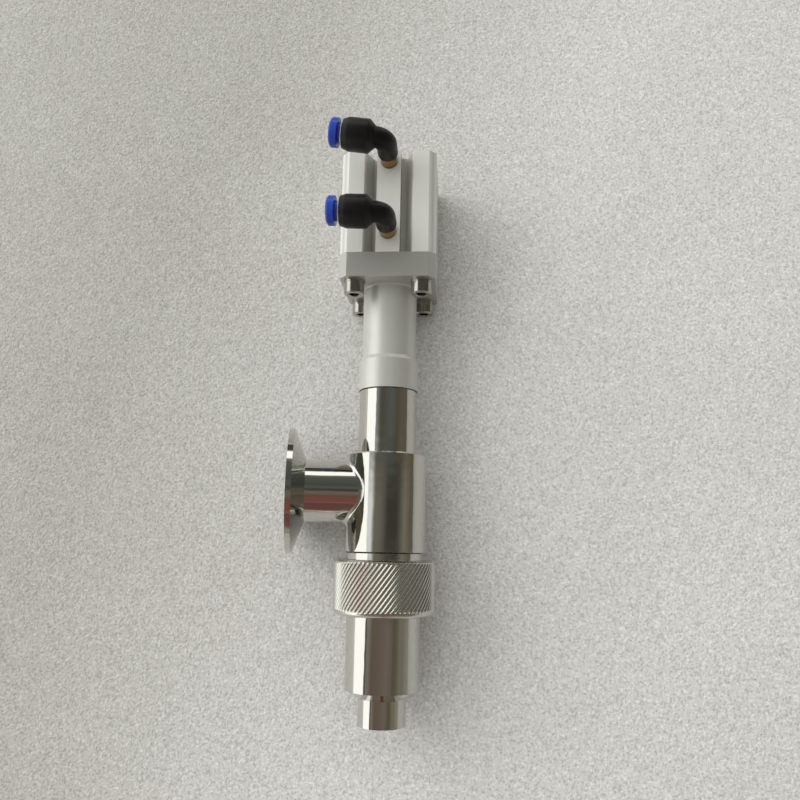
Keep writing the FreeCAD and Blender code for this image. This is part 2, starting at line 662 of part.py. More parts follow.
def piston_grooves():
    """Lower ends of the wear ring's and the seal's grooves, spaced evenly along the piston."""
    land = (PISTON_TOP - PISTON_BOTTOM - WEAR_RING_WIDTH - PISTON_SEAL_WIDTH) / 3
    wear_low = PISTON_BOTTOM + land
    return wear_low, wear_low + WEAR_RING_WIDTH + land


def piston():
    rim = CYLINDER_BORE / 2 - PISTON_GAP
    wear_floor = CYLINDER_BORE / 2 - WEAR_RING_SECTION - RUNNING_GAP
    seal_floor = CYLINDER_BORE / 2 - PISTON_SEAL_SECTION - RUNNING_GAP
    hole = ROD_SPIGOT / 2 + SEAT_GAP
    pocket = PISTON_POCKET / 2
    pocket_floor = PISTON_TOP - PISTON_NUT_HEIGHT - FACE_GAP
    wear_low, seal_low = piston_grooves()
    wear_high = wear_low + WEAR_RING_WIDTH
    seal_high = seal_low + PISTON_SEAL_WIDTH
    return turned([
        (hole, PISTON_BOTTOM), (rim, PISTON_BOTTOM), (rim, wear_low), (wear_floor, wear_low),
        (wear_floor, wear_high), (rim, wear_high), (rim, seal_low), (seal_floor, seal_low),
        (seal_floor, seal_high), (rim, seal_high), (rim, PISTON_TOP), (pocket, PISTON_TOP),
        (pocket, pocket_floor), (hole, pocket_floor),
    ])


def piston_seal():
    low = piston_grooves()[1]
    outer = CYLINDER_BORE - 2 * RUNNING_GAP
    inner = outer - 2 * PISTON_SEAL_SECTION
    return seal_ring(inner, outer, low, low + PISTON_SEAL_WIDTH)


def wear_ring():
    low = piston_grooves()[0]
    outer = CYLINDER_BORE - 2 * RUNNING_GAP
    band = ring(outer - 2 * WEAR_RING_SECTION, outer, low, low + WEAR_RING_WIDTH)
    slit = Part.makeBox(outer, WEAR_RING_SLIT, WEAR_RING_WIDTH, Vector(0, -WEAR_RING_SLIT / 2, low))
    return band.cut(slit)


def piston_nut():
    high = PISTON_TOP - FACE_GAP
    low = high - PISTON_NUT_HEIGHT
    return hexagon(PISTON_NUT_FLATS, low, high).cut(bar(ROD_SPIGOT + 2 * SEAT_GAP, low, high))


def piston_rod():
    rod = ROD_DIAMETER / 2
    spigot = ROD_SPIGOT / 2
    socket = STEM_THREAD / 2 + SEAT_GAP
    return turned([
        (socket, ROD_END), (rod - ROD_EDGE, ROD_END), (rod, ROD_END + ROD_EDGE), (rod, PISTON_BOTTOM),
        (spigot, PISTON_BOTTOM), (spigot, PISTON_TOP - FACE_GAP), (0, PISTON_TOP - FACE_GAP),
        (0, ROD_END + ROD_SOCKET_DEPTH), (socket, ROD_END + ROD_SOCKET_DEPTH),
    ])


def lock_nut():
    hole = STEM_THREAD + 2 * SEAT_GAP
    return hexagon(LOCK_NUT_FLATS, STEM_TOP, ROD_END).cut(bar(hole, STEM_TOP, ROD_END))


def valve_stem():
    stem = STEM_DIAMETER / 2
    thread = STEM_THREAD / 2
    foot = PLUG_THREAD / 2 - SEAT_GAP
    plug_top = PLUG_INSET + PLUG_LENGTH
    foot_bottom = plug_top - PLUG_THREAD_LENGTH + FACE_GAP
    tip = ROD_END + ROD_SOCKET_DEPTH - FACE_GAP
    return turned([
        (0, foot_bottom), (foot, foot_bottom), (foot, plug_top), (stem, plug_top), (stem, STEM_TOP),
        (thread, STEM_TOP), (thread, tip), (0, tip),
    ])


def plug():
    side = SPOUT_BORE / 2 - PLUG_GAP
    floor = SPOUT_BORE / 2 - RUNNING_GAP - PLUG_SEAL_SECTION
    face = PLUG_INSET
    seal_low = face + PLUG_SEAL_HEIGHT
    seal_high = seal_low + PLUG_SEAL_SECTION
    top = face + PLUG_LENGTH
    hole = PLUG_THREAD / 2
    return turned([
        (0, face), (side - PLUG_BEVEL, face), (side, face + PLUG_BEVEL), (side, seal_low),
        (floor, seal_low), (floor, seal_high), (side, seal_high), (side, face + PLUG_SKIRT),
        (STEM_DIAMETER / 2, top), (hole, top), (hole, top - PLUG_THREAD_LENGTH),
        (0, top - PLUG_THREAD_LENGTH),
    ])


def plug_seal():
    low = PLUG_INSET + PLUG_SEAL_HEIGHT
    outer = SPOUT_BORE - 2 * RUNNING_GAP
    inner = outer - 2 * PLUG_SEAL_SECTION
    return seal_ring(inner, outer, low, low + PLUG_SEAL_SECTION)


# Elbow parts are made with the port's axis as Z, the port face at 0 and the tube end along X,
# and place_elbow turns and moves them to a port.

BRASS_BOTTOM = WASHER_THICKNESS
BRASS_TOP = BRASS_BOTTOM + BRASS_HEIGHT
LEG_BOTTOM = BRASS_TOP + RUNNING_GAP
BARREL_END = NECK_REACH + BARREL_LENGTH
TUBE_STOP = BARREL_END - TUBE_DEPTH
TUBE_SEAL_START = BARREL_END - TUBE_SEAL_DEPTH
CLAW_START = BARREL_END - CLAW_DEPTH
COLLAR_RING_START = BARREL_END - COLLAR_RING_DEPTH
COLLAR_RING_END = BARREL_END + COLLAR_RING_PROUD
RELEASE_NOSE = CLAW_START + CLAW_THICKNESS + RELEASE_TRAVEL + RUNNING_GAP
RELEASE_BACK = COLLAR_RING_END + RELEASE_TRAVEL + RUNNING_GAP
RELEASE_FACE = RELEASE_BACK + RELEASE_THICKNESS
TUBE_BORE = TUBE_DIAMETER + 2 * TUBE_GAP


def place_elbow(shape, level, turn):
    shape = shape.copy()
    shape.rotate(Vector(0, 0, 0), Vector(0, 0, 1), 180 - turn)
    shape.rotate(Vector(0, 0, 0), Vector(1, 0, 0), 90)
    shape.translate(Vector(0, -PORT_FACE, level))
    return shape


def along_barrel(shape):
    """Lay a shape made along +Z on the elbow's tube axis."""
    shape = shape.copy()
    shape.rotate(Vector(0, 0, 0), Vector(0, 1, 0), 90)
    shape.translate(Vector(0, 0, ELBOW_HEIGHT))
    return shape


def port_washer():
    return ring(PORT_THREAD + 2 * SEAT_GAP, BRASS_DIAMETER, 0, WASHER_THICKNESS)


def elbow_stem():
    """Brass screw-in stem: thread, round foot and the neck that the elbow turns on."""
    bore = BRASS_BORE / 2
    thread = PORT_THREAD / 2 - SEAT_GAP
    foot = BRASS_DIAMETER / 2
    neck = SWIVEL_DIAMETER / 2
    seal_low = BRASS_TOP + SWIVEL_SEAL_HEIGHT
    seal_high = seal_low + SWIVEL_SEAL_SECTION
    floor = neck - SWIVEL_SEAL_SECTION / 2
    neck_top = BRASS_TOP + SWIVEL_LENGTH
    return turned([
        (bore, FACE_GAP - PORT_DEPTH), (thread, FACE_GAP - PORT_DEPTH), (thread, BRASS_BOTTOM),
        (foot, BRASS_BOTTOM), (foot, BRASS_TOP), (neck, BRASS_TOP), (neck, seal_low),
        (floor, seal_low), (floor, seal_high), (neck, seal_high), (neck, neck_top), (bore, neck_top),
    ])


def swivel_seal():
    low = BRASS_TOP + SWIVEL_SEAL_HEIGHT
    inner = SWIVEL_DIAMETER - SWIVEL_SEAL_SECTION
    return ring(inner, SWIVEL_DIAMETER + RUNNING_GAP, low, low + SWIVEL_SEAL_SECTION)


def elbow_body():
    """Moulded elbow: a leg that narrows to its foot, a ball at the corner and the stepped barrel."""
    foot = LEG_FOOT_DIAMETER / 2
    half = LEG_DIAMETER / 2
    leg = Part.makeCone(foot, half, ELBOW_HEIGHT - LEG_BOTTOM, Vector(0, 0, LEG_BOTTOM))
    corner = Part.makeSphere(half, Vector(0, 0, ELBOW_HEIGHT))
    barrel = BARREL_DIAMETER / 2
    mouth = barrel - MOUTH_TAPER_DEPTH
    shell = along_barrel(turned([
        (0, 0), (half, 0), (half, NECK_REACH), (barrel, NECK_REACH + BARREL_SHOULDER),
        (barrel, BARREL_END - MOUTH_TAPER_LENGTH), (mouth, BARREL_END), (0, BARREL_END),
    ]))
    body = leg.fuse(corner).fuse(shell).removeSplitter()
    passage = AIR_PASSAGE / 2
    tube = TUBE_BORE / 2
    seal = TUBE_SEAL_DIAMETER / 2
    collar = COLLAR_RING_DIAMETER / 2
    seal_end = TUBE_SEAL_START + TUBE_SEAL_WIDTH
    bores = along_barrel(turned([
        (0, 0), (passage, 0), (passage, TUBE_STOP), (tube, TUBE_STOP), (tube, TUBE_SEAL_START),
        (seal, TUBE_SEAL_START), (seal, seal_end), (collar, seal_end), (collar, BARREL_END),
        (0, BARREL_END),
    ]))
    socket_top = BRASS_TOP + SWIVEL_LENGTH + FACE_GAP
    socket = bar(SWIVEL_DIAMETER + 2 * RUNNING_GAP, LEG_BOTTOM, socket_top)
    upright = bar(AIR_PASSAGE, LEG_BOTTOM, ELBOW_HEIGHT)
    return body.cut(bores).cut(socket).cut(upright)


def tube_seal():
    low = TUBE_SEAL_START
    inner = TUBE_BORE
    outer = TUBE_SEAL_DIAMETER - 2 * SEAT_GAP
    return along_barrel(seal_ring(inner, outer, low, low + TUBE_SEAL_WIDTH))


def claw_ring():
    """Spring-steel ring: a dished disc whose slits leave claws that grip the tube."""
    inner = TUBE_BORE / 2
    root = RELEASE_SLEEVE_DIAMETER / 2
    outer = COLLAR_RING_DIAMETER / 2 - SEAT_GAP
    low = CLAW_START
    high = low + CLAW_THICKNESS
    disc = turned([
        (inner, low - CLAW_CONE + CLAW_THICKNESS), (root, low), (outer, low), (outer, high),
        (root, high), (inner, high - CLAW_CONE + CLAW_THICKNESS),
    ])
    slit = Part.makeBox(
        root, CLAW_SLIT_WIDTH, 2 * CLAW_CONE + CLAW_THICKNESS,
        Vector(0, -CLAW_SLIT_WIDTH / 2, low - CLAW_CONE))
    for step in range(CLAW_SLITS):
        cutter = slit.copy()
        cutter.rotate(Vector(0, 0, 0), Vector(0, 0, 1), 360 / CLAW_SLITS * step)
        disc = disc.cut(cutter)
    return along_barrel(disc)


def collar_ring():
    inner = RELEASE_SLEEVE_DIAMETER + 2 * RELEASE_SLEEVE_GAP
    outer = COLLAR_RING_DIAMETER - 2 * SEAT_GAP
    return along_barrel(ring(inner, outer, COLLAR_RING_START, COLLAR_RING_END))


def release_ring():
    """Button round the tube: pressed in, its nose lifts the claws."""
    inner = TUBE_BORE / 2
    sleeve = RELEASE_SLEEVE_DIAMETER / 2
    button = RELEASE_DIAMETER / 2
    return along_barrel(turned([
        (inner, RELEASE_NOSE), (sleeve - RELEASE_EDGE, RELEASE_NOSE),
        (sleeve, RELEASE_NOSE + RELEASE_EDGE),
        (sleeve, RELEASE_BACK), (button, RELEASE_BACK), (button, RELEASE_FACE - RELEASE_EDGE),
        (button - RELEASE_EDGE, RELEASE_FACE), (inner + RELEASE_BORE_EDGE, RELEASE_FACE),
        (inner, RELEASE_FACE - RELEASE_BORE_EDGE),
    ]))


def elbow_parts(side, level, turn):
    """All pieces of one elbow, named by the port that it is screwed into."""
    makers = {
        "port_washer": port_washer,
        "elbow_stem": elbow_stem,
        "swivel_seal": swivel_seal,
        "elbow_body": elbow_body,
        "tube_seal": tube_seal,
        "claw_ring": claw_ring,
        "collar_ring": collar_ring,
        "release_ring": release_ring,
    }
    return {side + "_" + name: place_elbow(make(), level, turn) for name, make in makers.items()}


def all_parts():
    first_seal = TEE_CEILING + SEAL_RETAINER_HEIGHT
    spacer = first_seal + STEM_SEAL_HEIGHT
    parts = {
        "nozzle_body": nozzle_body(),
        "nozzle_gasket": nozzle_gasket(),
        "union_nut": union_nut(),
        "tee_body": tee_body(),
        "inlet_pipe": inlet_pipe(),
        "inlet_weld": inlet_weld(),
        "inlet_ferrule": inlet_ferrule(),
        "guide_tube": guide_tube(),
        "guide_tube_seal": guide_tube_seal(),
        "seal_retainer": seal_retainer(),
        "lower_stem_seal": stem_seal(first_seal),
        "seal_spacer": seal_spacer(spacer),
        "upper_stem_seal": stem_seal(spacer + SEAL_SPACER_HEIGHT),
        "stem_bush": stem_bush(),
        "adapter_flange": adapter_flange(),
        "flange_screws": flange_screws(),
        "spring_washers": spring_washers(),
        "cylinder_body": cylinder_body(),
        "front_circlip": circlip(CYLINDER_BOTTOM + CIRCLIP_INSET),
        "rear_circlip": circlip(REAR_COVER_TOP),
        "front_cover": front_cover(),
        "rear_cover": rear_cover(),
        "front_cover_seal": cover_seal(FRONT_COVER_BOTTOM, FRONT_COVER_TOP),
        "rear_cover_seal": cover_seal(REAR_COVER_BOTTOM, REAR_COVER_TOP),
        "rod_bush": rod_bush(),
        "rod_seal": rod_seal(),
        "piston": piston(),
        "piston_seal": piston_seal(),
        "wear_ring": wear_ring(),
        "piston_nut": piston_nut(),
        "piston_rod": piston_rod(),
        "lock_nut": lock_nut(),
        "valve_stem": valve_stem(),
        "plug": plug(),
        "plug_seal": plug_seal(),
    }
    parts.update(elbow_parts("upper", UPPER_PORT_LEVEL, UPPER_ELBOW_TURN))
    parts.update(elbow_parts("lower", LOWER_PORT_LEVEL, LOWER_ELBOW_TURN))
    return parts


os.makedirs("parts", exist_ok=True)
for name, shape in all_parts().items():
    shape.exportStep("parts/" + name + ".step")
    print(name, shape.isValid(), len(shape.Solids), round(shape.Volume, 1))
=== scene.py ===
"""Looks of the anti-drip filling nozzle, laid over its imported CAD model.

The nozzle stands upright: +Z runs from the spout to the air cylinder, the air ports face -Y and
the product inlet points to -X. Lengths in the settings are in metres.
"""

import math

import bmesh
import bpy
from mathutils import Matrix, Vector


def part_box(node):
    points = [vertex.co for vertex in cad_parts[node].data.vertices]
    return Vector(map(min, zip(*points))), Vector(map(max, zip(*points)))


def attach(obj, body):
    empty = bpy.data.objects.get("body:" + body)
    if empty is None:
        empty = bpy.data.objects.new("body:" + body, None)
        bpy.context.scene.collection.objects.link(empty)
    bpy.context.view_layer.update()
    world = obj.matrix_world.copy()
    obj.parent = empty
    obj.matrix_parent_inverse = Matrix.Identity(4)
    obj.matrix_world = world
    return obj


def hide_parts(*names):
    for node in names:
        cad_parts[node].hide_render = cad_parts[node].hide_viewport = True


bl_info = {
    "name": "Anti-drip filling nozzle",
    "version": (1, 0, 0),
    "blender": (4, 5, 0),
    "location": "3D View > Sidebar > Filling nozzle",
    "description": "Builds the looks of an anti-drip filling nozzle and its studio",
    "category": "Object",
}

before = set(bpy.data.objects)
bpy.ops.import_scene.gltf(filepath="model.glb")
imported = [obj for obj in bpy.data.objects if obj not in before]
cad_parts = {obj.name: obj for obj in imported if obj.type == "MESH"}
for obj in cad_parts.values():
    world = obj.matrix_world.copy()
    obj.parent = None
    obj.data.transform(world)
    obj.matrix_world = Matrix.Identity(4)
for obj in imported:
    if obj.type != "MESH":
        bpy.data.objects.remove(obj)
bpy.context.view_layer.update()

MM = 0.001
# Tolerances in metres, for vertices that merge, that lie on a cut and that lie on a turned face.
SAME_POINT = 1e-7
ON_CUT = 1e-6
ON_FACE = 1e-5
BLACK, WHITE = "#000000", "#FFFFFF"
# Settings of a Mix node for colours, which go in at 6 and 7 and come out at 2.
BLEND = {"data_type": "RGBA"}
MULTIPLY = {"data_type": "RGBA", "blend_type": "MULTIPLY"}


def linear(code):
    """Linear RGBA of an sRGB hex colour."""
    def channel(start):
        value = int(code[start:start + 2], 16) / 255
        return value / 12.92 if value <= 0.04045 else ((value + 0.055) / 1.055) ** 2.4
    return (channel(1), channel(3), channel(5), 1.0)


def colour(name, text, code):
    """A colour setting, given in sRGB hex."""
    return bpy.props.FloatVectorProperty(
        name=name, description=text, subtype="COLOR", size=3, min=0, max=1,
        default=linear(code)[:3])


def length(name, text, default):
    """A length setting, in metres."""
    return bpy.props.FloatProperty(
        name=name, description=text, subtype="DISTANCE", unit="LENGTH", min=0, precision=5,
        default=default)


class NozzleSizes(bpy.types.PropertyGroup):
    """Sizes of the forms that are drawn over the CAD model."""
    knurl_pitch: length("Knurl pitch", "Spacing of the nut's grooves round its side", 1.95 * MM)
    knurl_depth: length("Knurl depth", "Depth of the steeper grooves", 0.50 * MM)
    knurl_cross: length("Crossing depth", "Depth of the grooves that cross them", 0.10 * MM)
    knurl_angle: bpy.props.FloatProperty(
        name="Knurl angle", description="Lean of the grooves from the horizontal",
        subtype="ANGLE", unit="ROTATION", default=math.radians(52.6))
    nut_hole: length("Nut hole", "Radius of the hole in the nut's lip", 15.0 * MM)
    nut_thread: length("Nut thread", "Radius of the nut's thread at its root", 16.35 * MM)
    nut_lip: length("Nut lip", "Height of the nut's lip under the nozzle's flange", 5.4 * MM)
    nut_rounding: length("Nut rounding", "Radius of the nut's lower edge", 1.8 * MM)
    spigot_thread: length("Spigot thread", "Radius of the tee's male thread", 16.27 * MM)
    spigot_neck: length("Spigot neck", "Radius of the plain neck above the thread", 15.37 * MM)
    thread_pitch: length("Thread pitch", "Pitch of the union thread", 1.5 * MM)
    thread_depth: length("Thread depth", "Depth of the union thread", 0.8 * MM)
    neck: length("Neck", "Height of the plain neck under the tee's shoulder", 3.6 * MM)
    weld_radius: length("Weld radius", "Hollow of the smoothed weld at the inlet", 2.0 * MM)
    bend_radius: length("Bend radius", "Radius of the elbows' moulded bend", 4.25 * MM)
    soft_edge: length("Soft edge", "Broken edge of the milled aluminium parts", 0.35 * MM)


class NozzleColours(bpy.types.PropertyGroup):
    """Colours of the visible finishes."""
    steel: colour("Steel", "Polished and satin stainless steel", "#CDCCC7")
    aluminium: colour("Aluminium", "Turned and milled anodised aluminium", "#D0D0CC")
    extrusion: colour("Extrusion", "Anodised extrusion of the air cylinder", "#E6E6E2")
    nut_steel: colour("Nut steel", "Satin stainless steel of the union nut", "#D4D2CC")
    screw_steel: colour("Screw steel", "Bright steel of the screws and spring washers", "#B4B2AC")
    brass: colour("Brass", "Screw-in stems of the elbows", "#9C7A45")
    body_plastic: colour("Black plastic", "Moulded elbow bodies", "#0B0B09")
    button_plastic: colour("Blue plastic", "Release rings of the elbows", "#1E3FA4")
    board: colour("Board", "Speckled surface behind the nozzle", "#EDEEF0")


def settings():
    """The sizes and the colours that the pieces are built from."""
    scene = bpy.context.scene
    return scene.nozzle_sizes, scene.nozzle_colours


def add(tree, kind, values=None, stops=(), **sockets):
    """Adds a shader node. values are its properties and stops a ramp's (position, sRGB hex)
    pairs. sockets are numbers, colours or links: Base_Color is that socket, _0 the first one."""
    node = tree.nodes.new("ShaderNode" + kind)
    for name, value in (values or {}).items():
        setattr(node, name, value)
    for index, (position, code) in enumerate(stops):
        elements = node.color_ramp.elements
        element = elements[index] if index < 2 else elements.new(position)
        element.position = position
        element.color = linear(code)
    for name, value in sockets.items():
        key = int(name[1:]) if name[1:].isdigit() else name.replace("_", " ")
        if isinstance(value, bpy.types.NodeSocket):
            tree.links.new(value, node.inputs[key])
        else:
            node.inputs[key].default_value = value
    return node


def blank_material(name):
    """A material with an empty tree and its output node."""
    material = bpy.data.materials.new(name)
    material.use_nodes = True
    tree = material.node_tree
    tree.nodes.clear()
    return material, tree, tree.nodes.new("ShaderNodeOutputMaterial")


def rgba(value):
    """An opaque colour from a colour setting."""
    return tuple(value) + (1.0,)


def marks(count, span):
    """Scale of a noise that puts this many marks into a span of millimetres."""
    return count / (span * MM)


def object_space(tree, scale=(1, 1, 1)):
    """Object coordinates in metres, stretched by scale."""
    place = add(tree, "TexCoord").outputs["Object"]
    return add(tree, "Mapping", Vector=place, Scale=scale).outputs["Vector"]


def band(tree, value, low, high, soft):
    """White where a value lies between low and high, fading to black over soft."""
    stops = [(low - soft, BLACK), (low, WHITE), (high, WHITE), (high + soft, BLACK)]
    return add(tree, "ValToRGB", stops=stops, Fac=value).outputs["Color"]


def polished_steel(name, base, roughness=0.07, wave=0.012):
    """Stainless steel 316L, turned and mirror-polished: sharp reflections that waver a little
    because polishing leaves the surface slightly uneven, with faint wipe marks in the gloss.
    Real wipe marks are some hundredths of a millimetre wide, and are drawn coarser to show."""
    material, tree, out = blank_material(name)
    uneven = add(tree, "TexNoise", Vector=object_space(tree), Scale=marks(9, 100), Detail=2.0)
    wipes = add(
        tree, "TexNoise", Vector=object_space(tree, (1, 1, 6)), Scale=marks(2, 5), Detail=4.0)
    gloss = add(
        tree, "MapRange", _0=wipes.outputs["Fac"], _3=roughness * 0.6, _4=roughness * 1.5)
    bump = add(tree, "Bump", Height=uneven.outputs["Fac"], Strength=wave, Distance=10 * MM)
    shader = add(
        tree, "BsdfPrincipled", Base_Color=base, Metallic=1.0, Roughness=gloss.outputs["Result"],
        Normal=bump.outputs["Normal"])
    tree.links.new(shader.outputs["BSDF"], out.inputs["Surface"])
    return material


def satin_steel(name, base, roughness):
    """Stainless steel, turned and left satin: fine rings round the axis break the reflections.
    The rings are about 0.08 mm apart."""
    material, tree, out = blank_material(name)
    rings = add(
        tree, "TexNoise", Vector=object_space(tree, (1, 1, 40)), Scale=marks(3, 10), Detail=3.0)
    gloss = add(
        tree, "MapRange", _0=rings.outputs["Fac"], _3=roughness * 0.8, _4=roughness * 1.25)
    bump = add(tree, "Bump", Height=rings.outputs["Fac"], Strength=0.1, Distance=0.05 * MM)
    shader = add(
        tree, "BsdfPrincipled", Base_Color=base, Metallic=1.0, Roughness=gloss.outputs["Result"],
        Normal=bump.outputs["Normal"])
    tree.links.new(shader.outputs["BSDF"], out.inputs["Surface"])
    return material


def anodised_aluminium(name, base, grain, metallic, roughness):
    """Clear-anodised aluminium: a milky oxide layer over metal, so it is partly matt.
    grain stretches the surface marks, along Z on an extrusion and evenly on a blasted part.
    Blasting leaves dents of about 0.1 mm, and they are drawn ten times as coarse to show."""
    material, tree, out = blank_material(name)
    dents = add(
        tree, "TexNoise", Vector=object_space(tree, grain), Scale=marks(9, 10), Detail=4.0)
    cloud = add(tree, "TexNoise", Vector=object_space(tree), Scale=marks(6, 100), Detail=3.0)
    gloss = add(
        tree, "MapRange", _0=dents.outputs["Fac"], _3=roughness * 0.85, _4=roughness * 1.2)
    veil = add(
        tree, "ValToRGB", stops=[(0.3, "#A8A8A4"), (0.7, WHITE)], Fac=cloud.outputs["Fac"])
    tone = add(tree, "Mix", MULTIPLY, Factor=0.12, _6=base, _7=veil.outputs["Color"])
    bump = add(tree, "Bump", Height=dents.outputs["Fac"], Strength=0.25, Distance=0.08 * MM)
    shader = add(
        tree, "BsdfPrincipled", Base_Color=tone.outputs[2], Metallic=metallic,
        Roughness=gloss.outputs["Result"], Normal=bump.outputs["Normal"])
    tree.links.new(shader.outputs["BSDF"], out.inputs["Surface"])
    return material


def plain_metal(name, base, roughness):
    """Machined metal with faint tool marks. Real ones are about 0.1 mm apart, and are drawn
    coarser to show."""
    material, tree, out = blank_material(name)
    cuts = add(tree, "TexNoise", Vector=object_space(tree), Scale=marks(3, 2), Detail=3.0)
    gloss = add(
        tree, "MapRange", _0=cuts.outputs["Fac"], _3=roughness * 0.7, _4=roughness * 1.4)
    bump = add(tree, "Bump", Height=cuts.outputs["Fac"], Strength=0.15, Distance=0.04 * MM)
    shader = add(
        tree, "BsdfPrincipled", Base_Color=base, Metallic=1.0, Roughness=gloss.outputs["Result"],
        Normal=bump.outputs["Normal"])
    tree.links.new(shader.outputs["BSDF"], out.inputs["Surface"])
    return material


def moulded(name, base, roughness, grain=0.2, ior=1.5, see_through=0.0):
    """Moulded plastic or rubber: dielectric gloss over a fine grain of 0.4 mm, which the mould's
    eroded surface leaves, and broader patches that came off the mould a little glossier."""
    material, tree, out = blank_material(name)
    texture = add(tree, "TexNoise", Vector=object_space(tree), Scale=marks(5, 2), Detail=3.0)
    patches = add(tree, "TexNoise", Vector=object_space(tree), Scale=marks(1, 5), Detail=2.0)
    gloss = add(
        tree, "MapRange", _0=patches.outputs["Fac"], _3=roughness * 0.8, _4=roughness * 1.2)
    bump = add(tree, "Bump", Height=texture.outputs["Fac"], Strength=grain, Distance=0.05 * MM)
    shader = add(
        tree, "BsdfPrincipled", Base_Color=base, Roughness=gloss.outputs["Result"], IOR=ior,
        Transmission_Weight=see_through, Normal=bump.outputs["Normal"])
    tree.links.new(shader.outputs["BSDF"], out.inputs["Surface"])
    return material


def dress(material, *nodes):
    """Gives CAD nodes a material on all their slots."""
    for node in nodes:
        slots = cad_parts[node].data.materials
        slots.clear()
        slots.append(material)


def piece(name, mesh_maker, material, body, node):
    """Makes a bmesh into a finished piece that stands for a CAD node."""
    mesh = bpy.data.meshes.new(name)
    mesh_maker.to_mesh(mesh)
    mesh_maker.free()
    mesh.materials.append(material)
    item = bpy.data.objects.new(name, mesh)
    bpy.context.scene.collection.objects.link(item)
    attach(item, body)
    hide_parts(node)
    return item


def softened(name, node, body, material):
    """Copies a CAD node's mesh as a piece whose edges a bevel breaks."""
    bm = bmesh.new()
    bm.from_mesh(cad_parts[node].data)
    bmesh.ops.remove_doubles(bm, verts=bm.verts, dist=SAME_POINT)
    bmesh.ops.dissolve_limit(
        bm, angle_limit=math.radians(1), verts=bm.verts, edges=bm.edges,
        use_dissolve_boundaries=False)
    smooth_by_angle(bm, 30)
    item = piece(name, bm, material, body, node)
    bevel = item.modifiers.new("soft edges", "BEVEL")
    bevel.width = settings()[0].soft_edge
    bevel.segments = 2
    bevel.limit_method = "ANGLE"
    bevel.angle_limit = math.radians(35)
    bevel.harden_normals = True


def smooth_by_angle(bm, degrees):
    """Shades faces smooth and marks the edges above an angle as sharp."""
    limit = math.radians(degrees)
    for face in bm.faces:
        face.smooth = True
    for edge in bm.edges:
        edge.smooth = len(edge.link_faces) == 2 and edge.calc_face_angle(0) < limit


def spin_outline(outline, steps):
    """Turned piece from a closed outline of (radius, height) points."""
    bm = bmesh.new()
    corners = [bm.verts.new((radius, 0, height)) for radius, height in outline]
    edges = [bm.edges.new(pair) for pair in zip(corners, corners[1:] + corners[:1])]
    bmesh.ops.spin(
        bm, geom=corners + edges, cent=(0, 0, 0), axis=(0, 0, 1), angle=math.tau, steps=steps,
        use_merge=True)
    bmesh.ops.remove_doubles(bm, verts=bm.verts, dist=SAME_POINT)
    bmesh.ops.recalc_face_normals(bm, faces=bm.faces)
    return bm


def steps_between(low, high, count):
    """Evenly spaced values from low to high, both ends among them."""
    return [low + (high - low) * index / count for index in range(count + 1)]


def groove(place, pitch, width):
    """1 in the middle of a groove that repeats every pitch, 0 on the land beside it. width is
    half the groove's, as a share of the pitch."""
    offset = abs((place / pitch) % 1 - 0.5)
    return max(0.0, 1 - offset / width)


def cut_thread(bm, low, high, radius, pitch, depth, inward):
    """Cuts a right-hand thread into the faces at a radius between two heights."""
    for vert in bm.verts:
        x, y, z = vert.co
        reach = math.hypot(x, y)
        if not low < z < high or abs(reach - radius) > ON_FACE:
            continue
        fade = min(1.0, (z - low) / pitch, (high - z) / pitch)
        place = z - pitch * math.atan2(y, x) / math.tau
        change = depth * fade * groove(place, pitch, width=0.5)
        scale = (reach - change if inward else reach + change) / reach
        vert.co = Vector((x * scale, y * scale, z))


class NOZZLE_OT_turned_steel(bpy.types.Operator):
    """Polishes the turned nozzle, guide tube, inlet pipe and clamp ferrule"""
    bl_idname = "nozzle.turned_steel"
    bl_label = "Turned steel parts"

    def execute(self, context):
        colours = settings()[1]
        steel = polished_steel("mirror-polished 316L steel", rgba(colours.steel))
        dress(steel, "nozzle_body", "guide_tube", "inlet_pipe", "inlet_ferrule")
        return {"FINISHED"}


class NOZZLE_OT_tee(bpy.types.Operator):
    """Makes the tee body with the thread on its spigot"""
    bl_idname = "nozzle.tee"
    bl_label = "Tee body"

    def execute(self, context):
        sizes, colours = settings()
        spigot_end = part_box("tee_body")[0].z
        thread = sizes.spigot_thread
        neck = sizes.spigot_neck
        bore = 12.35 * MM
        shoulder = 65.7 * MM
        edge = 0.6 * MM
        cut_clearance = 0.01 * MM
        thread_top = shoulder - sizes.neck - (thread - neck)
        bm = bmesh.new()
        bm.from_mesh(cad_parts["tee_body"].data)
        bmesh.ops.remove_doubles(bm, verts=bm.verts, dist=SAME_POINT)
        bmesh.ops.bisect_plane(
            bm, geom=bm.verts[:] + bm.edges[:] + bm.faces[:], dist=SAME_POINT,
            plane_co=(0, 0, shoulder - cut_clearance), plane_no=(0, 0, 1), clear_inner=True)
        outline = [(bore, spigot_end), (thread - edge, spigot_end)]
        outline += [(thread, level) for level in steps_between(spigot_end + edge, thread_top, 60)]
        outline += [(neck, shoulder - sizes.neck), (neck, shoulder), (bore, shoulder)]
        spigot = spin_outline(outline, steps=144)
        cut_thread(
            spigot, spigot_end + edge, thread_top, thread, sizes.thread_pitch, sizes.thread_depth,
            inward=True)
        part = bpy.data.meshes.new("spigot")
        spigot.to_mesh(part)
        spigot.free()
        bm.from_mesh(part)
        bpy.data.meshes.remove(part)
        smooth_by_angle(bm, 32)
        steel = polished_steel("mirror-polished 316L tee", rgba(colours.steel))
        piece("threaded_tee", bm, steel, "valve_body", "tee_body")
        return {"FINISHED"}


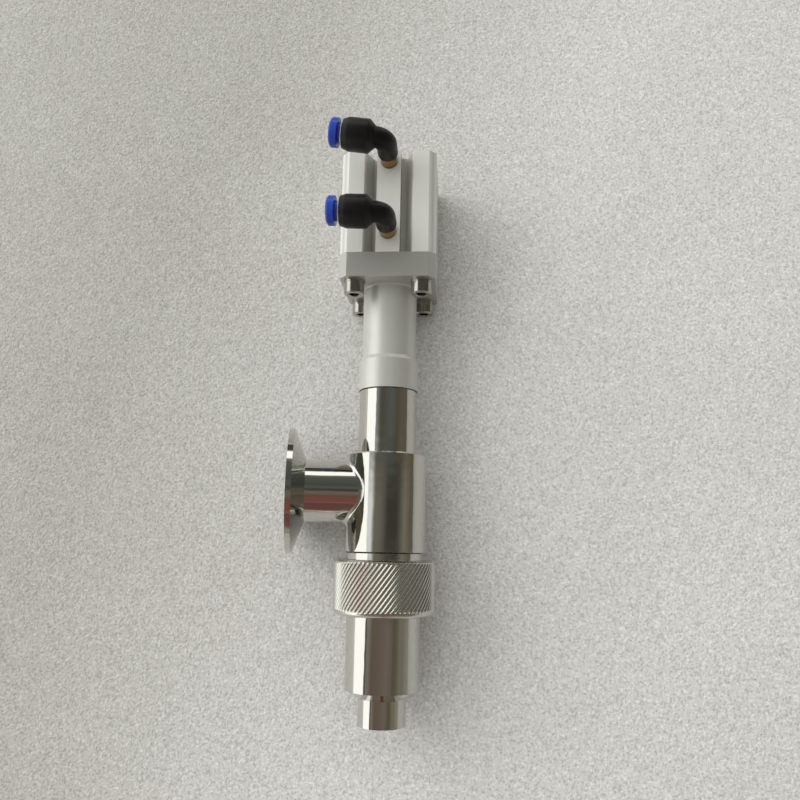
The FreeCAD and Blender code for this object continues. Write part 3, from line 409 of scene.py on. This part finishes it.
class NOZZLE_OT_union_nut(bpy.types.Operator):
    """Makes the union nut with its diamond knurl and inner thread"""
    bl_idname = "nozzle.union_nut"
    bl_label = "Knurled union nut"

    def execute(self, context):
        sizes, colours = settings()
        low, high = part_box("union_nut")
        outer = (high.x - low.x) / 2
        bottom, top = low.z, high.z
        hole = sizes.nut_hole
        thread = sizes.nut_thread
        lip = bottom + sizes.nut_lip
        rounding = sizes.nut_rounding
        chamfer = 0.7 * MM
        run_out = 0.6 * MM
        steep_width, cross_width = 0.45, 0.35
        steps_per_groove = 10
        # Where grooves cross, this share of the steep one's depth adds to the other's.
        deeper_at_crossing = 0.3
        band_low = bottom + rounding
        band_high = top - chamfer
        outline = [(hole, bottom)]
        for turn in steps_between(0, math.pi / 2, 6):
            outline.append((
                outer - rounding + rounding * math.sin(turn),
                band_low - rounding * math.cos(turn)))
        outline += [(outer, level) for level in steps_between(band_low, band_high, 64)[1:]]
        outline += [(outer - chamfer, top), (thread + chamfer, top)]
        outline += [(thread, level) for level in steps_between(top - chamfer, lip, 38)]
        outline += [(hole, lip)]
        grooves = round(math.tau * outer / sizes.knurl_pitch)
        bm = spin_outline(outline, steps_per_groove * grooves)
        pitch = math.tau * outer / grooves
        lean = 1 / math.tan(sizes.knurl_angle)
        for vert in bm.verts:
            x, y, z = vert.co
            reach = math.hypot(x, y)
            if abs(reach - outer) > ON_FACE:
                continue
            rise = z - band_low
            turn = math.atan2(y, x) + lean * rise / outer
            steep = sizes.knurl_depth * groove(outer * turn - lean * rise, pitch, steep_width)
            cross = sizes.knurl_cross * groove(outer * turn + lean * rise, pitch, cross_width)
            fade = min(1.0, max(0.0, min(rise, band_high - z) / run_out))
            reach = outer - fade * max(steep, cross + deeper_at_crossing * steep)
            vert.co = (reach * math.cos(turn), reach * math.sin(turn), z)
        cut_thread(
            bm, lip, top - chamfer, thread, sizes.thread_pitch, sizes.thread_depth, inward=False)
        smooth_by_angle(bm, 35)
        steel = satin_steel("satin knurled stainless steel", rgba(colours.nut_steel), 0.23)
        piece("knurled_nut", bm, steel, "union_nut", "union_nut")
        return {"FINISHED"}


class NOZZLE_OT_weld(bpy.types.Operator):
    """Makes the smoothed weld that blends the inlet pipe into the tee"""
    bl_idname = "nozzle.weld"
    bl_label = "Inlet weld"

    def execute(self, context):
        sizes, colours = settings()
        pipe = 12.7 * MM
        tee = 16.55 * MM
        level = 90.3 * MM
        turn = math.radians(9)
        width = sizes.weld_radius
        # It runs further along the pipe than along the tee.
        climb = 1.3 * width
        buried = 0.3 * MM
        outline = [(pipe - buried, -buried), (pipe - buried, climb)]
        for part in steps_between(0, 1, 10):
            outline.append((pipe + width * part ** 2, climb * (1 - part) ** 2))
        outline.append((pipe + width, -buried))
        bm = spin_outline(outline, steps=180)
        inlet = Vector((-math.cos(turn), -math.sin(turn), 0))
        across = inlet.cross(Vector((0, 0, 1)))
        for vert in bm.verts:
            x, y, z = vert.co
            size = math.hypot(x, y)
            # It narrows towards the tee's flanks, where the two surfaces meet at a wide angle.
            flank = 1 - (y / size * pipe / tee) ** 2
            if size > pipe:
                stretch = (pipe + (size - pipe) * flank) / size
                x, y = x * stretch, y * stretch
            start = math.sqrt(tee ** 2 - y ** 2)
            rise = z * flank if z > 0 else z
            vert.co = inlet * (start + rise) + across * y + Vector((0, 0, level + x))
        bmesh.ops.recalc_face_normals(bm, faces=bm.faces)
        smooth_by_angle(bm, 40)
        weld = polished_steel("polished weld", rgba(colours.steel), roughness=0.12, wave=0.05)
        piece("smoothed_weld", bm, weld, "valve_body", "inlet_weld")
        return {"FINISHED"}


class NOZZLE_OT_adapter(bpy.types.Operator):
    """Finishes the cylinder adapter and its screws"""
    bl_idname = "nozzle.adapter"
    bl_label = "Cylinder adapter"

    def execute(self, context):
        colours = settings()[1]
        blasted = anodised_aluminium(
            "blasted anodised aluminium", rgba(colours.aluminium), (1, 1, 1), 0.5, 0.38)
        # The plate is milled after blasting, and shows more of the metal than the tube below it.
        plate_low, plate_high = 176.5 * MM, 177.5 * MM
        tree = blasted.node_tree
        height = add(tree, "SeparateXYZ", Vector=object_space(tree)).outputs["Z"]
        milled = add(
            tree, "MapRange", _0=height, _1=plate_low, _2=plate_high, _3=0.45, _4=0.7).outputs[0]
        tree.links.new(milled, tree.nodes["Principled BSDF"].inputs["Metallic"])
        # A2 stainless steel, cold-headed and washed: bright, with small soft highlights.
        screws = plain_metal("bright A2 screw steel", rgba(colours.screw_steel), 0.14)
        softened("soft_adapter", "adapter_flange", "valve_body", blasted)
        dress(screws, "flange_screws", "spring_washers")
        return {"FINISHED"}


class NOZZLE_OT_cylinder(bpy.types.Operator):
    """Finishes the air cylinder's extrusion, covers and circlips"""
    bl_idname = "nozzle.cylinder"
    bl_label = "Air cylinder"

    def execute(self, context):
        colours = settings()[1]
        extrusion = anodised_aluminium(
            "anodised aluminium extrusion", rgba(colours.extrusion), (1, 1, 0.02), 0.2, 0.3)
        # Paints shade into the extrusion's grooves and corners.
        self.paint_groove_shade(extrusion)
        # Turned and left bare: brighter and more metallic than the anodised extrusion.
        covers = plain_metal("turned aluminium", rgba(colours.aluminium), 0.3)
        # Phosphated: dark grey and nearly matt.
        clips = plain_metal("phosphated spring steel", linear("#4A4844"), 0.4)
        softened("soft_cylinder", "cylinder_body", "valve_body", extrusion)
        dress(covers, "front_cover", "rear_cover", "piston")
        dress(clips, "front_circlip", "rear_circlip")
        return {"FINISHED"}

    def paint_groove_shade(self, material):
        """Paints shade into the grooves and corners: the colour darkens where the surface lies
        deeper than the flat faces."""
        # Reach from the axis at which the painted shade begins, and at which it is full.
        shade_start, drawn = 19.5 * MM, 18.0 * MM
        tree = material.node_tree
        base = tree.nodes["Principled BSDF"].inputs["Base Color"]
        place = add(tree, "VectorMath", {"operation": "ABSOLUTE"}, _0=object_space(tree))
        sides = add(tree, "SeparateXYZ", Vector=place.outputs["Vector"]).outputs
        reach = add(tree, "Math", {"operation": "MAXIMUM"}, _0=sides["X"], _1=sides["Y"])
        deep = add(tree, "MapRange", _0=reach.outputs["Value"], _1=shade_start, _2=drawn)
        # Painted shade: a darker grey mixed into the colour where the surface lies deep.
        shade = add(
            tree, "Mix", BLEND, Factor=deep.outputs["Result"], _6=base.links[0].from_socket,
            _7=linear("#B8B7B2"))
        tree.links.new(shade.outputs[2], base)


class NOZZLE_OT_plunger(bpy.types.Operator):
    """Finishes the moving rod, stem, nuts and closing plug"""
    bl_idname = "nozzle.plunger"
    bl_label = "Plunger"

    def execute(self, context):
        colours = settings()[1]
        # Hard-chromed and ground: nearly a mirror.
        rod = plain_metal("ground and plated rod", linear("#C8C8C6"), 0.12)
        satin = satin_steel("turned stainless steel", rgba(colours.steel), 0.28)
        dress(rod, "piston_rod")
        dress(satin, "valve_stem", "lock_nut", "piston_nut", "plug", "seal_retainer")
        return {"FINISHED"}


class NOZZLE_OT_seals(bpy.types.Operator):
    """Finishes the seals, bushes and gaskets"""
    bl_idname = "nozzle.seals"
    bl_label = "Seals and bushes"

    def execute(self, context):
        # Machined from rod: waxy white, with a broad dim highlight.
        ptfe = moulded("machined PTFE", linear("#E6E5E0"), 0.45, ior=1.38)
        # Pressed in a mould and dusted with talc: black and matt.
        rubber = moulded("nitrile rubber", linear("#171716"), 0.5, grain=0.4)
        # Unfilled: milky, and light passes a little way in.
        silicone = moulded(
            "translucent silicone", linear("#D8D5CB"), 0.4, ior=1.41, see_through=0.2)
        # Pressed from powder: its open pores make it dull.
        bronze = plain_metal("sintered bronze", linear("#9C7A4A"), 0.5)
        dress(ptfe, "nozzle_gasket", "lower_stem_seal", "upper_stem_seal", "seal_spacer",
              "stem_bush", "wear_ring")
        dress(rubber, "guide_tube_seal", "front_cover_seal", "rear_cover_seal", "rod_seal",
              "piston_seal")
        dress(silicone, "plug_seal")
        dress(bronze, "rod_bush")
        return {"FINISHED"}


class NOZZLE_OT_elbows(bpy.types.Operator):
    """Finishes both push-in elbows"""
    bl_idname = "nozzle.elbows"
    bl_label = "Push-in elbows"

    def execute(self, context):
        colours = settings()[1]
        # Glass-filled, from an eroded mould: black with a soft grey sheen.
        black = moulded(
            "fine-textured PBT", rgba(colours.body_plastic), 0.42, grain=0.3, ior=1.36)
        # From a polished mould: a clear blue with narrow highlights.
        blue = moulded("smooth POM", rgba(colours.button_plastic), 0.28, grain=0.05, ior=1.48)
        # Turned from bar and left bare: a darkened yellow.
        brass = plain_metal("turned brass", rgba(colours.brass), 0.22)
        # Plated without polish: a pale, soft grey.
        nickel = plain_metal("nickel-plated brass", linear("#ECEAE4"), 0.5)
        # Pressed fibre: dark brown and dull.
        washer = moulded("fibre washer", linear("#24221F"), 0.5)
        rubber = moulded("elbow nitrile rubber", linear("#171716"), 0.5, grain=0.4)
        # Stamped from rolled strip: bright edges in the dark mouth.
        claws = plain_metal("stainless spring strip", linear("#B4B2AC"), 0.25)
        self.bent_body("upper_", 228.1 * MM, math.radians(8), black)
        self.bent_body("lower_", 196.8 * MM, math.radians(2), black)
        for side in ("upper_", "lower_"):
            dress(blue, side + "release_ring")
            dress(brass, side + "elbow_stem")
            dress(nickel, side + "collar_ring")
            dress(washer, side + "port_washer")
            dress(rubber, side + "swivel_seal", side + "tube_seal")
            dress(claws, side + "claw_ring")
        return {"FINISHED"}

    def bent_body(self, side, level, swing, material):
        """Copies an elbow body's mesh and turns its corner into a moulded bend. level is the
        port's height, and swing how far the barrel points up."""
        radius = settings()[0].bend_radius
        reach = 4.4 * MM
        passage = 2.0 * MM
        # The leg's outer face narrows from the bend to its foot. What lies further out on the
        # barrel's side is the barrel.
        foot_radius, foot_length = 4.2 * MM, 9.7 * MM
        leg_face, barrel_face = 4.19 * MM, 4.6 * MM
        corner = Vector((0, -37.9 * MM, level))
        tube = Vector((-math.cos(swing), 0, math.sin(swing)))
        leg = Vector((0, -1, 0))
        across = tube.cross(leg)
        bm = bmesh.new()
        bm.from_mesh(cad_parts[side + "elbow_body"].data)
        bmesh.ops.remove_doubles(bm, verts=bm.verts, dist=SAME_POINT)
        start = corner + reach * tube
        end = corner - reach * leg
        for place, way in ((start, tube), (end, leg)):
            bmesh.ops.bisect_plane(
                bm, geom=bm.verts[:] + bm.edges[:] + bm.faces[:], dist=SAME_POINT,
                plane_co=place, plane_no=way)
        inside = [
            face for face in bm.faces
            if (face.calc_center_median() - start).dot(tube) < 0
            and (face.calc_center_median() - end).dot(leg) > 0]
        bmesh.ops.delete(bm, geom=inside, context="FACES")
        for vert in bm.verts:
            along = (vert.co - corner).dot(leg)
            out = vert.co - corner - along * leg
            on_leg = along < ON_CUT - reach and out.dot(tube) < barrel_face
            if on_leg and out.length > leg_face:
                down = min(1, (-along - reach) / foot_length)
                size = radius + (foot_radius - radius) * down
                vert.co = corner + along * leg + out * (size / out.length)
        for place, way in ((start, tube), (end, leg)):
            rim = [
                edge for edge in bm.edges
                if len(edge.link_faces) == 1
                and all(abs((vert.co - place).dot(way)) < ON_CUT for vert in edge.verts)]
            bmesh.ops.bridge_loops(bm, edges=rim)
        facing = tube.to_track_quat("Z", "Y").to_matrix().to_4x4()
        loops = []
        for size in (radius, passage):
            ring = bmesh.ops.create_circle(
                bm, segments=64, radius=size, matrix=Matrix.Translation(start) @ facing)
            loops += list({edge for vert in ring["verts"] for edge in vert.link_edges})
        mouth = bmesh.ops.bridge_loops(bm, edges=loops)["faces"]
        bmesh.ops.spin(
            bm, geom=mouth, cent=start - reach * leg, axis=across, angle=math.pi / 2, steps=16,
            use_duplicate=False)
        bmesh.ops.recalc_face_normals(bm, faces=bm.faces)
        smooth_by_angle(bm, 35)
        piece(
            side + "elbow_shell", bm, material, side + "elbow", side + "elbow_body")


class NOZZLE_OT_stage(bpy.types.Operator):
    """Sets the speckled board, the room's light, the lamp and the camera"""
    bl_idname = "nozzle.stage"
    bl_label = "Studio"

    def execute(self, context):
        self.board()
        self.room()
        self.window_lamp()
        self.camera()
        return {"FINISHED"}

    def board(self):
        """A board 0.2 mm behind the nozzle, which faces -Y."""
        bm = bmesh.new()
        bmesh.ops.create_grid(bm, x_segments=1, y_segments=1, size=3.0)
        bmesh.ops.rotate(bm, verts=bm.verts, matrix=Matrix.Rotation(math.radians(90), 3, "X"))
        bmesh.ops.translate(bm, verts=bm.verts, vec=(0, 20.6 * MM, 120 * MM))
        mesh = bpy.data.meshes.new("board")
        bm.to_mesh(mesh)
        bm.free()
        board = bpy.data.objects.new("board", mesh)
        bpy.context.scene.collection.objects.link(board)
        mesh.materials.append(self.speckled())

    def speckled(self):
        """Pale plastic film with an orange-peel texture of 1 mm, speckled and a little stained.
        Painted glints brighten its highest bumps, and painted shade darkens it towards the upper
        left. It is one-sided, so that the nozzle can be seen from behind."""
        colours = settings()[1]
        material, tree, out = blank_material("speckled film")
        place = object_space(tree)
        peel = add(tree, "TexNoise", Vector=place, Scale=marks(1, 1), Detail=2.0, Roughness=0.6)
        patches = add(tree, "TexNoise", Vector=place, Scale=marks(7, 500), Detail=2.0)
        # Painted shade runs along this line: lighter towards the lower right, darker towards the
        # upper left.
        across = add(tree, "VectorMath", {"operation": "DOT_PRODUCT"}, _0=place, _1=(1, 0, -0.35))
        shade = add(tree, "MapRange", _0=across.outputs["Value"], _1=-0.18, _2=0.12)
        # Speckle in the film's own tone, with painted glints: the highest bumps are painted white.
        speckle_and_painted_glints = add(tree, "ValToRGB", Fac=peel.outputs["Fac"], stops=[
            (0.30, "#8E8B86"), (0.47, "#D2D0CB"), (0.58, "#D8D6D2"), (0.68, WHITE)])
        tone = add(
            tree, "Mix", MULTIPLY, Factor=0.62, _6=rgba(colours.board), _7=speckle_and_painted_glints.outputs["Color"])
        stains = add(
            tree, "ValToRGB", Fac=patches.outputs["Fac"], stops=[(0.3, "#D8D4CE"), (0.7, WHITE)])
        worn = add(
            tree, "Mix", MULTIPLY, Factor=0.15, _6=tone.outputs[2], _7=stains.outputs["Color"])
        # Painted shade: this ramp darkens the colour towards the upper left.
        painted_light_fall = add(tree, "ValToRGB", Fac=shade.outputs["Result"], stops=[
            (0.0, "#D4D3CF"), (0.35, "#F0EFED"), (0.6, WHITE)])
        painted_shade_tone = add(
            tree, "Mix", MULTIPLY, Factor=1.0, _6=worn.outputs[2], _7=painted_light_fall.outputs["Color"])
        bump = add(tree, "Bump", Height=peel.outputs["Fac"], Strength=0.8, Distance=0.5 * MM)
        shader = add(
            tree, "BsdfPrincipled", Base_Color=painted_shade_tone.outputs[2], Roughness=0.3,
            Normal=bump.outputs["Normal"])
        clear = add(tree, "BsdfTransparent")
        behind = add(tree, "NewGeometry").outputs["Backfacing"]
        both = add(
            tree, "MixShader", Fac=behind, _1=shader.outputs["BSDF"], _2=clear.outputs["BSDF"])
        tree.links.new(both.outputs["Shader"], out.inputs["Surface"])
        return material

    def room(self):
        """Soft even light for matt surfaces and, for metal, the reflection of a room: a tall
        window at the left, a strip of light overhead, a dim brown room in front, whose floor is
        reddish at one bearing, and pale walls behind. Bearings run from 0 to 1, with the left at
        0.25, the front at 0.5 and the right at 0.75. Tilts run from 0, straight down, to 1."""
        world = bpy.data.worlds.new("room")
        bpy.context.scene.world = world
        world.use_nodes = True
        tree = world.node_tree
        tree.nodes.clear()
        out = tree.nodes.new("ShaderNodeOutputWorld")
        way = add(tree, "TexCoord").outputs["Generated"]
        parts = add(tree, "SeparateXYZ", Vector=way).outputs
        ahead = add(tree, "Math", {"operation": "MULTIPLY"}, _0=parts["Y"], _1=-1.0).outputs[0]
        turn = add(tree, "Math", {"operation": "ARCTAN2"}, _0=parts["X"], _1=ahead).outputs[0]
        around = add(tree, "MapRange", _0=turn, _1=-math.pi, _2=math.pi).outputs[0]
        tilt = add(tree, "MapRange", _0=parts["Z"], _1=-1.0, _2=1.0).outputs[0]
        # What stands in front leans: side is the bearing, shifted with the tilt.
        lean = add(
            tree, "Math", {"operation": "MULTIPLY_ADD"}, _0=tilt, _1=-0.14, _2=0.07).outputs[0]
        side = add(tree, "Math", {"operation": "ADD"}, _0=around, _1=lean).outputs[0]
        grey_floor = add(tree, "ValToRGB", Fac=tilt, stops=[
            (0.06, "#A69D8A"), (0.16, "#7C7466"), (0.40, "#6A6254")])
        red_floor = add(tree, "ValToRGB", Fac=tilt, stops=[
            (0.004, "#E0C4B4"), (0.012, "#734E4B"), (0.135, "#734E4B"), (0.150, "#986C66"),
            (0.165, "#855448"), (0.280, "#855448"), (0.310, "#6D5A4E"), (0.400, "#745C4D")])
        front = add(
            tree, "Mix", BLEND, Factor=band(tree, around, 0.498, 0.535, 0.015),
            _6=grey_floor.outputs[0], _7=red_floor.outputs[0]).outputs[2]
        # Above the floor: the tilts over which each storey sets in, what its colours run along
        # and the colours.
        storeys = (
            (0.34, 0.39, side, [
                (0.365, "#42423E"), (0.377, "#4E4E49"), (0.384, "#8B877E"), (0.405, "#857C70"),
                (0.430, "#6D6254"), (0.480, "#736558"), (0.560, "#7C726A"), (0.590, "#756C63"),
                (0.612, "#645E50"), (0.640, "#6B6554"), (0.667, "#837E6E"), (0.700, "#837E6E"),
                (0.735, "#979488")]),
            (0.45, 0.50, side, [
                (0.398, "#FFFFFF"), (0.412, "#B4B4AE"), (0.424, "#7A786D"), (0.450, "#78766B"),
                (0.474, "#726E66"), (0.499, "#625F57"), (0.518, "#4B4941"), (0.535, "#43423A"),
                (0.590, "#43423A"), (0.613, "#54524A"), (0.638, "#706E63"), (0.662, "#858072"),
                (0.690, "#7A7361"), (0.712, "#6B6559")]),
            (0.53, 0.57, side, [
                (0.378, "#959898"), (0.414, "#5D5E54"), (0.447, "#565349"), (0.478, "#5C5B54"),
                (0.511, "#5C625C"), (0.542, "#616761"), (0.575, "#605E56"), (0.611, "#5B5546"),
                (0.665, "#686253")]),
            (0.61, 0.67, tilt, [
                (0.600, "#4C4C45"), (0.750, "#585B55"), (0.870, "#60645E"), (0.900, "#85857F"),
                (0.972, "#A0A09C"), (0.984, "#4A4A45")]))
        for start, full, along, stops in storeys:
            storey = add(tree, "ValToRGB", stops=stops, Fac=along)
            above = add(tree, "ValToRGB", stops=[(start, BLACK), (full, WHITE)], Fac=tilt)
            front = add(
                tree, "Mix", BLEND, Factor=above.outputs[0], _6=front,
                _7=storey.outputs[0]).outputs[2]
        walls = add(tree, "ValToRGB", Fac=around, stops=[
            (0.24, "#DAD7D0"), (0.26, "#C8C4BB"), (0.74, "#BDB9B0")])
        seen = add(
            tree, "Mix", BLEND, Factor=band(tree, around, 0.350, 0.742, 0.008),
            _6=walls.outputs[0], _7=front)
        window = add(
            tree, "Math", {"operation": "MULTIPLY"}, _0=band(tree, side, 0.250, 0.364, 0.003),
            _1=band(tree, tilt, 0.14, 0.90, 0.03))
        pane = add(
            tree, "Math", {"operation": "MAXIMUM"}, _0=window.outputs[0],
            _1=band(tree, tilt, 0.914, 0.972, 0.004)).outputs[0]
        glow = add(tree, "MapRange", _0=pane, _3=1.0, _4=1.6)
        bright = add(
            tree, "Mix", BLEND, Factor=pane, _6=seen.outputs[2], _7=linear("#FFFFFB"))
        reflected = add(
            tree, "Background", Color=bright.outputs[2], Strength=glow.outputs["Result"])
        daylight = add(tree, "ValToRGB", Fac=around, stops=[
            (0.00, "#B8B8B5"), (0.25, "#FFFFFC"), (0.44, "#FFFEFA"), (0.56, "#A6A5A1"),
            (0.75, "#858480"), (1.00, "#B8B8B5")])
        height = add(tree, "ValToRGB", Fac=tilt, stops=[
            (0.0, "#646462"), (0.46, "#D2D2D0"), (0.80, WHITE)])
        soft = add(
            tree, "Mix", MULTIPLY, Factor=1.0, _6=daylight.outputs[0], _7=height.outputs[0])
        even = add(tree, "Background", Color=soft.outputs[2], Strength=1.95)
        backdrop = add(tree, "Background", Color=linear("#DDDBD6"), Strength=1.0)
        rays = add(tree, "LightPath").outputs
        glossy = add(
            tree, "Math", {"operation": "MAXIMUM"}, _0=rays["Is Glossy Ray"],
            _1=rays["Is Transmission Ray"]).outputs[0]
        lit = add(tree, "MixShader", Fac=glossy, _1=even.outputs[0], _2=reflected.outputs[0])
        shown = add(
            tree, "MixShader", Fac=rays["Is Camera Ray"], _1=lit.outputs[0],
            _2=backdrop.outputs[0])
        tree.links.new(shown.outputs[0], out.inputs["Surface"])

    def window_lamp(self):
        """Soft light from the upper left in front. Metal mirrors the room's window, not this."""
        light = bpy.data.lights.new("window", "AREA")
        light.shape = "RECTANGLE"
        light.size = 0.9
        light.size_y = 0.9
        light.energy = 6.0
        lamp = bpy.data.objects.new("window", light)
        place = Vector((-1.05, -0.72, 0.60))
        middle = Vector((0.0, 0.0, 0.12))
        lamp.location = place
        lamp.rotation_euler = (middle - place).to_track_quat("-Z", "Y").to_euler()
        lamp.visible_glossy = False
        bpy.context.scene.collection.objects.link(lamp)

    def camera(self):
        """Camera at the photograph's place: it looks along +Y, turned by pan, tilt and roll in
        radians, through a lens of 33.88 mm on a sensor 36 mm wide."""
        pan, tilt, roll = 0.0707, 0.1874, -0.0188
        place = (0.0271, -0.31177, 0.07001)
        turn_z = Matrix((
            (math.cos(pan), math.sin(pan), 0), (-math.sin(pan), math.cos(pan), 0), (0, 0, 1)))
        turn_x = Matrix((
            (1, 0, 0), (0, math.cos(tilt), math.sin(tilt)), (0, -math.sin(tilt), math.cos(tilt))))
        turn_y = Matrix((
            (math.cos(roll), 0, -math.sin(roll)), (0, 1, 0), (math.sin(roll), 0, math.cos(roll))))
        right, forward, up = turn_y @ turn_x @ turn_z
        lens = bpy.data.cameras.new("camera")
        lens.sensor_width = 36.0
        lens.lens = 33.88
        lens.clip_start = 10 * MM
        camera = bpy.data.objects.new("camera", lens)
        rows = Matrix((right, up, -forward)).transposed().to_4x4()
        camera.matrix_world = Matrix.Translation(place) @ rows
        bpy.context.scene.collection.objects.link(camera)
        bpy.context.scene.camera = camera
        bpy.context.scene.view_settings.view_transform = "Standard"


class NOZZLE_PT_panel(bpy.types.Panel):
    """Lists the nozzle's settings and the operators that build its pieces"""
    bl_label = "Filling nozzle"
    bl_idname = "NOZZLE_PT_panel"
    bl_space_type = "VIEW_3D"
    bl_region_type = "UI"
    bl_category = "Filling nozzle"

    def draw(self, context):
        column = self.layout.column(align=True)
        for group in settings():
            for name in group.__annotations__:
                column.prop(group, name)
        column.separator()
        for operator in OPERATORS:
            column.operator(operator.bl_idname)


OPERATORS = (
    NOZZLE_OT_turned_steel,
    NOZZLE_OT_tee,
    NOZZLE_OT_union_nut,
    NOZZLE_OT_weld,
    NOZZLE_OT_adapter,
    NOZZLE_OT_cylinder,
    NOZZLE_OT_plunger,
    NOZZLE_OT_seals,
    NOZZLE_OT_elbows,
    NOZZLE_OT_stage,
)
CLASSES = (NozzleSizes, NozzleColours) + OPERATORS + (NOZZLE_PT_panel,)


def register():
    for item in CLASSES:
        bpy.utils.register_class(item)
    bpy.types.Scene.nozzle_sizes = bpy.props.PointerProperty(type=NozzleSizes)
    bpy.types.Scene.nozzle_colours = bpy.props.PointerProperty(type=NozzleColours)


def unregister():
    del bpy.types.Scene.nozzle_colours
    del bpy.types.Scene.nozzle_sizes
    for item in reversed(CLASSES):
        bpy.utils.unregister_class(item)


def main():
    register()
    for operator in OPERATORS:
        group, name = operator.bl_idname.split(".")
        getattr(getattr(bpy.ops, group), name)()


if __name__ == "__main__":
    main()
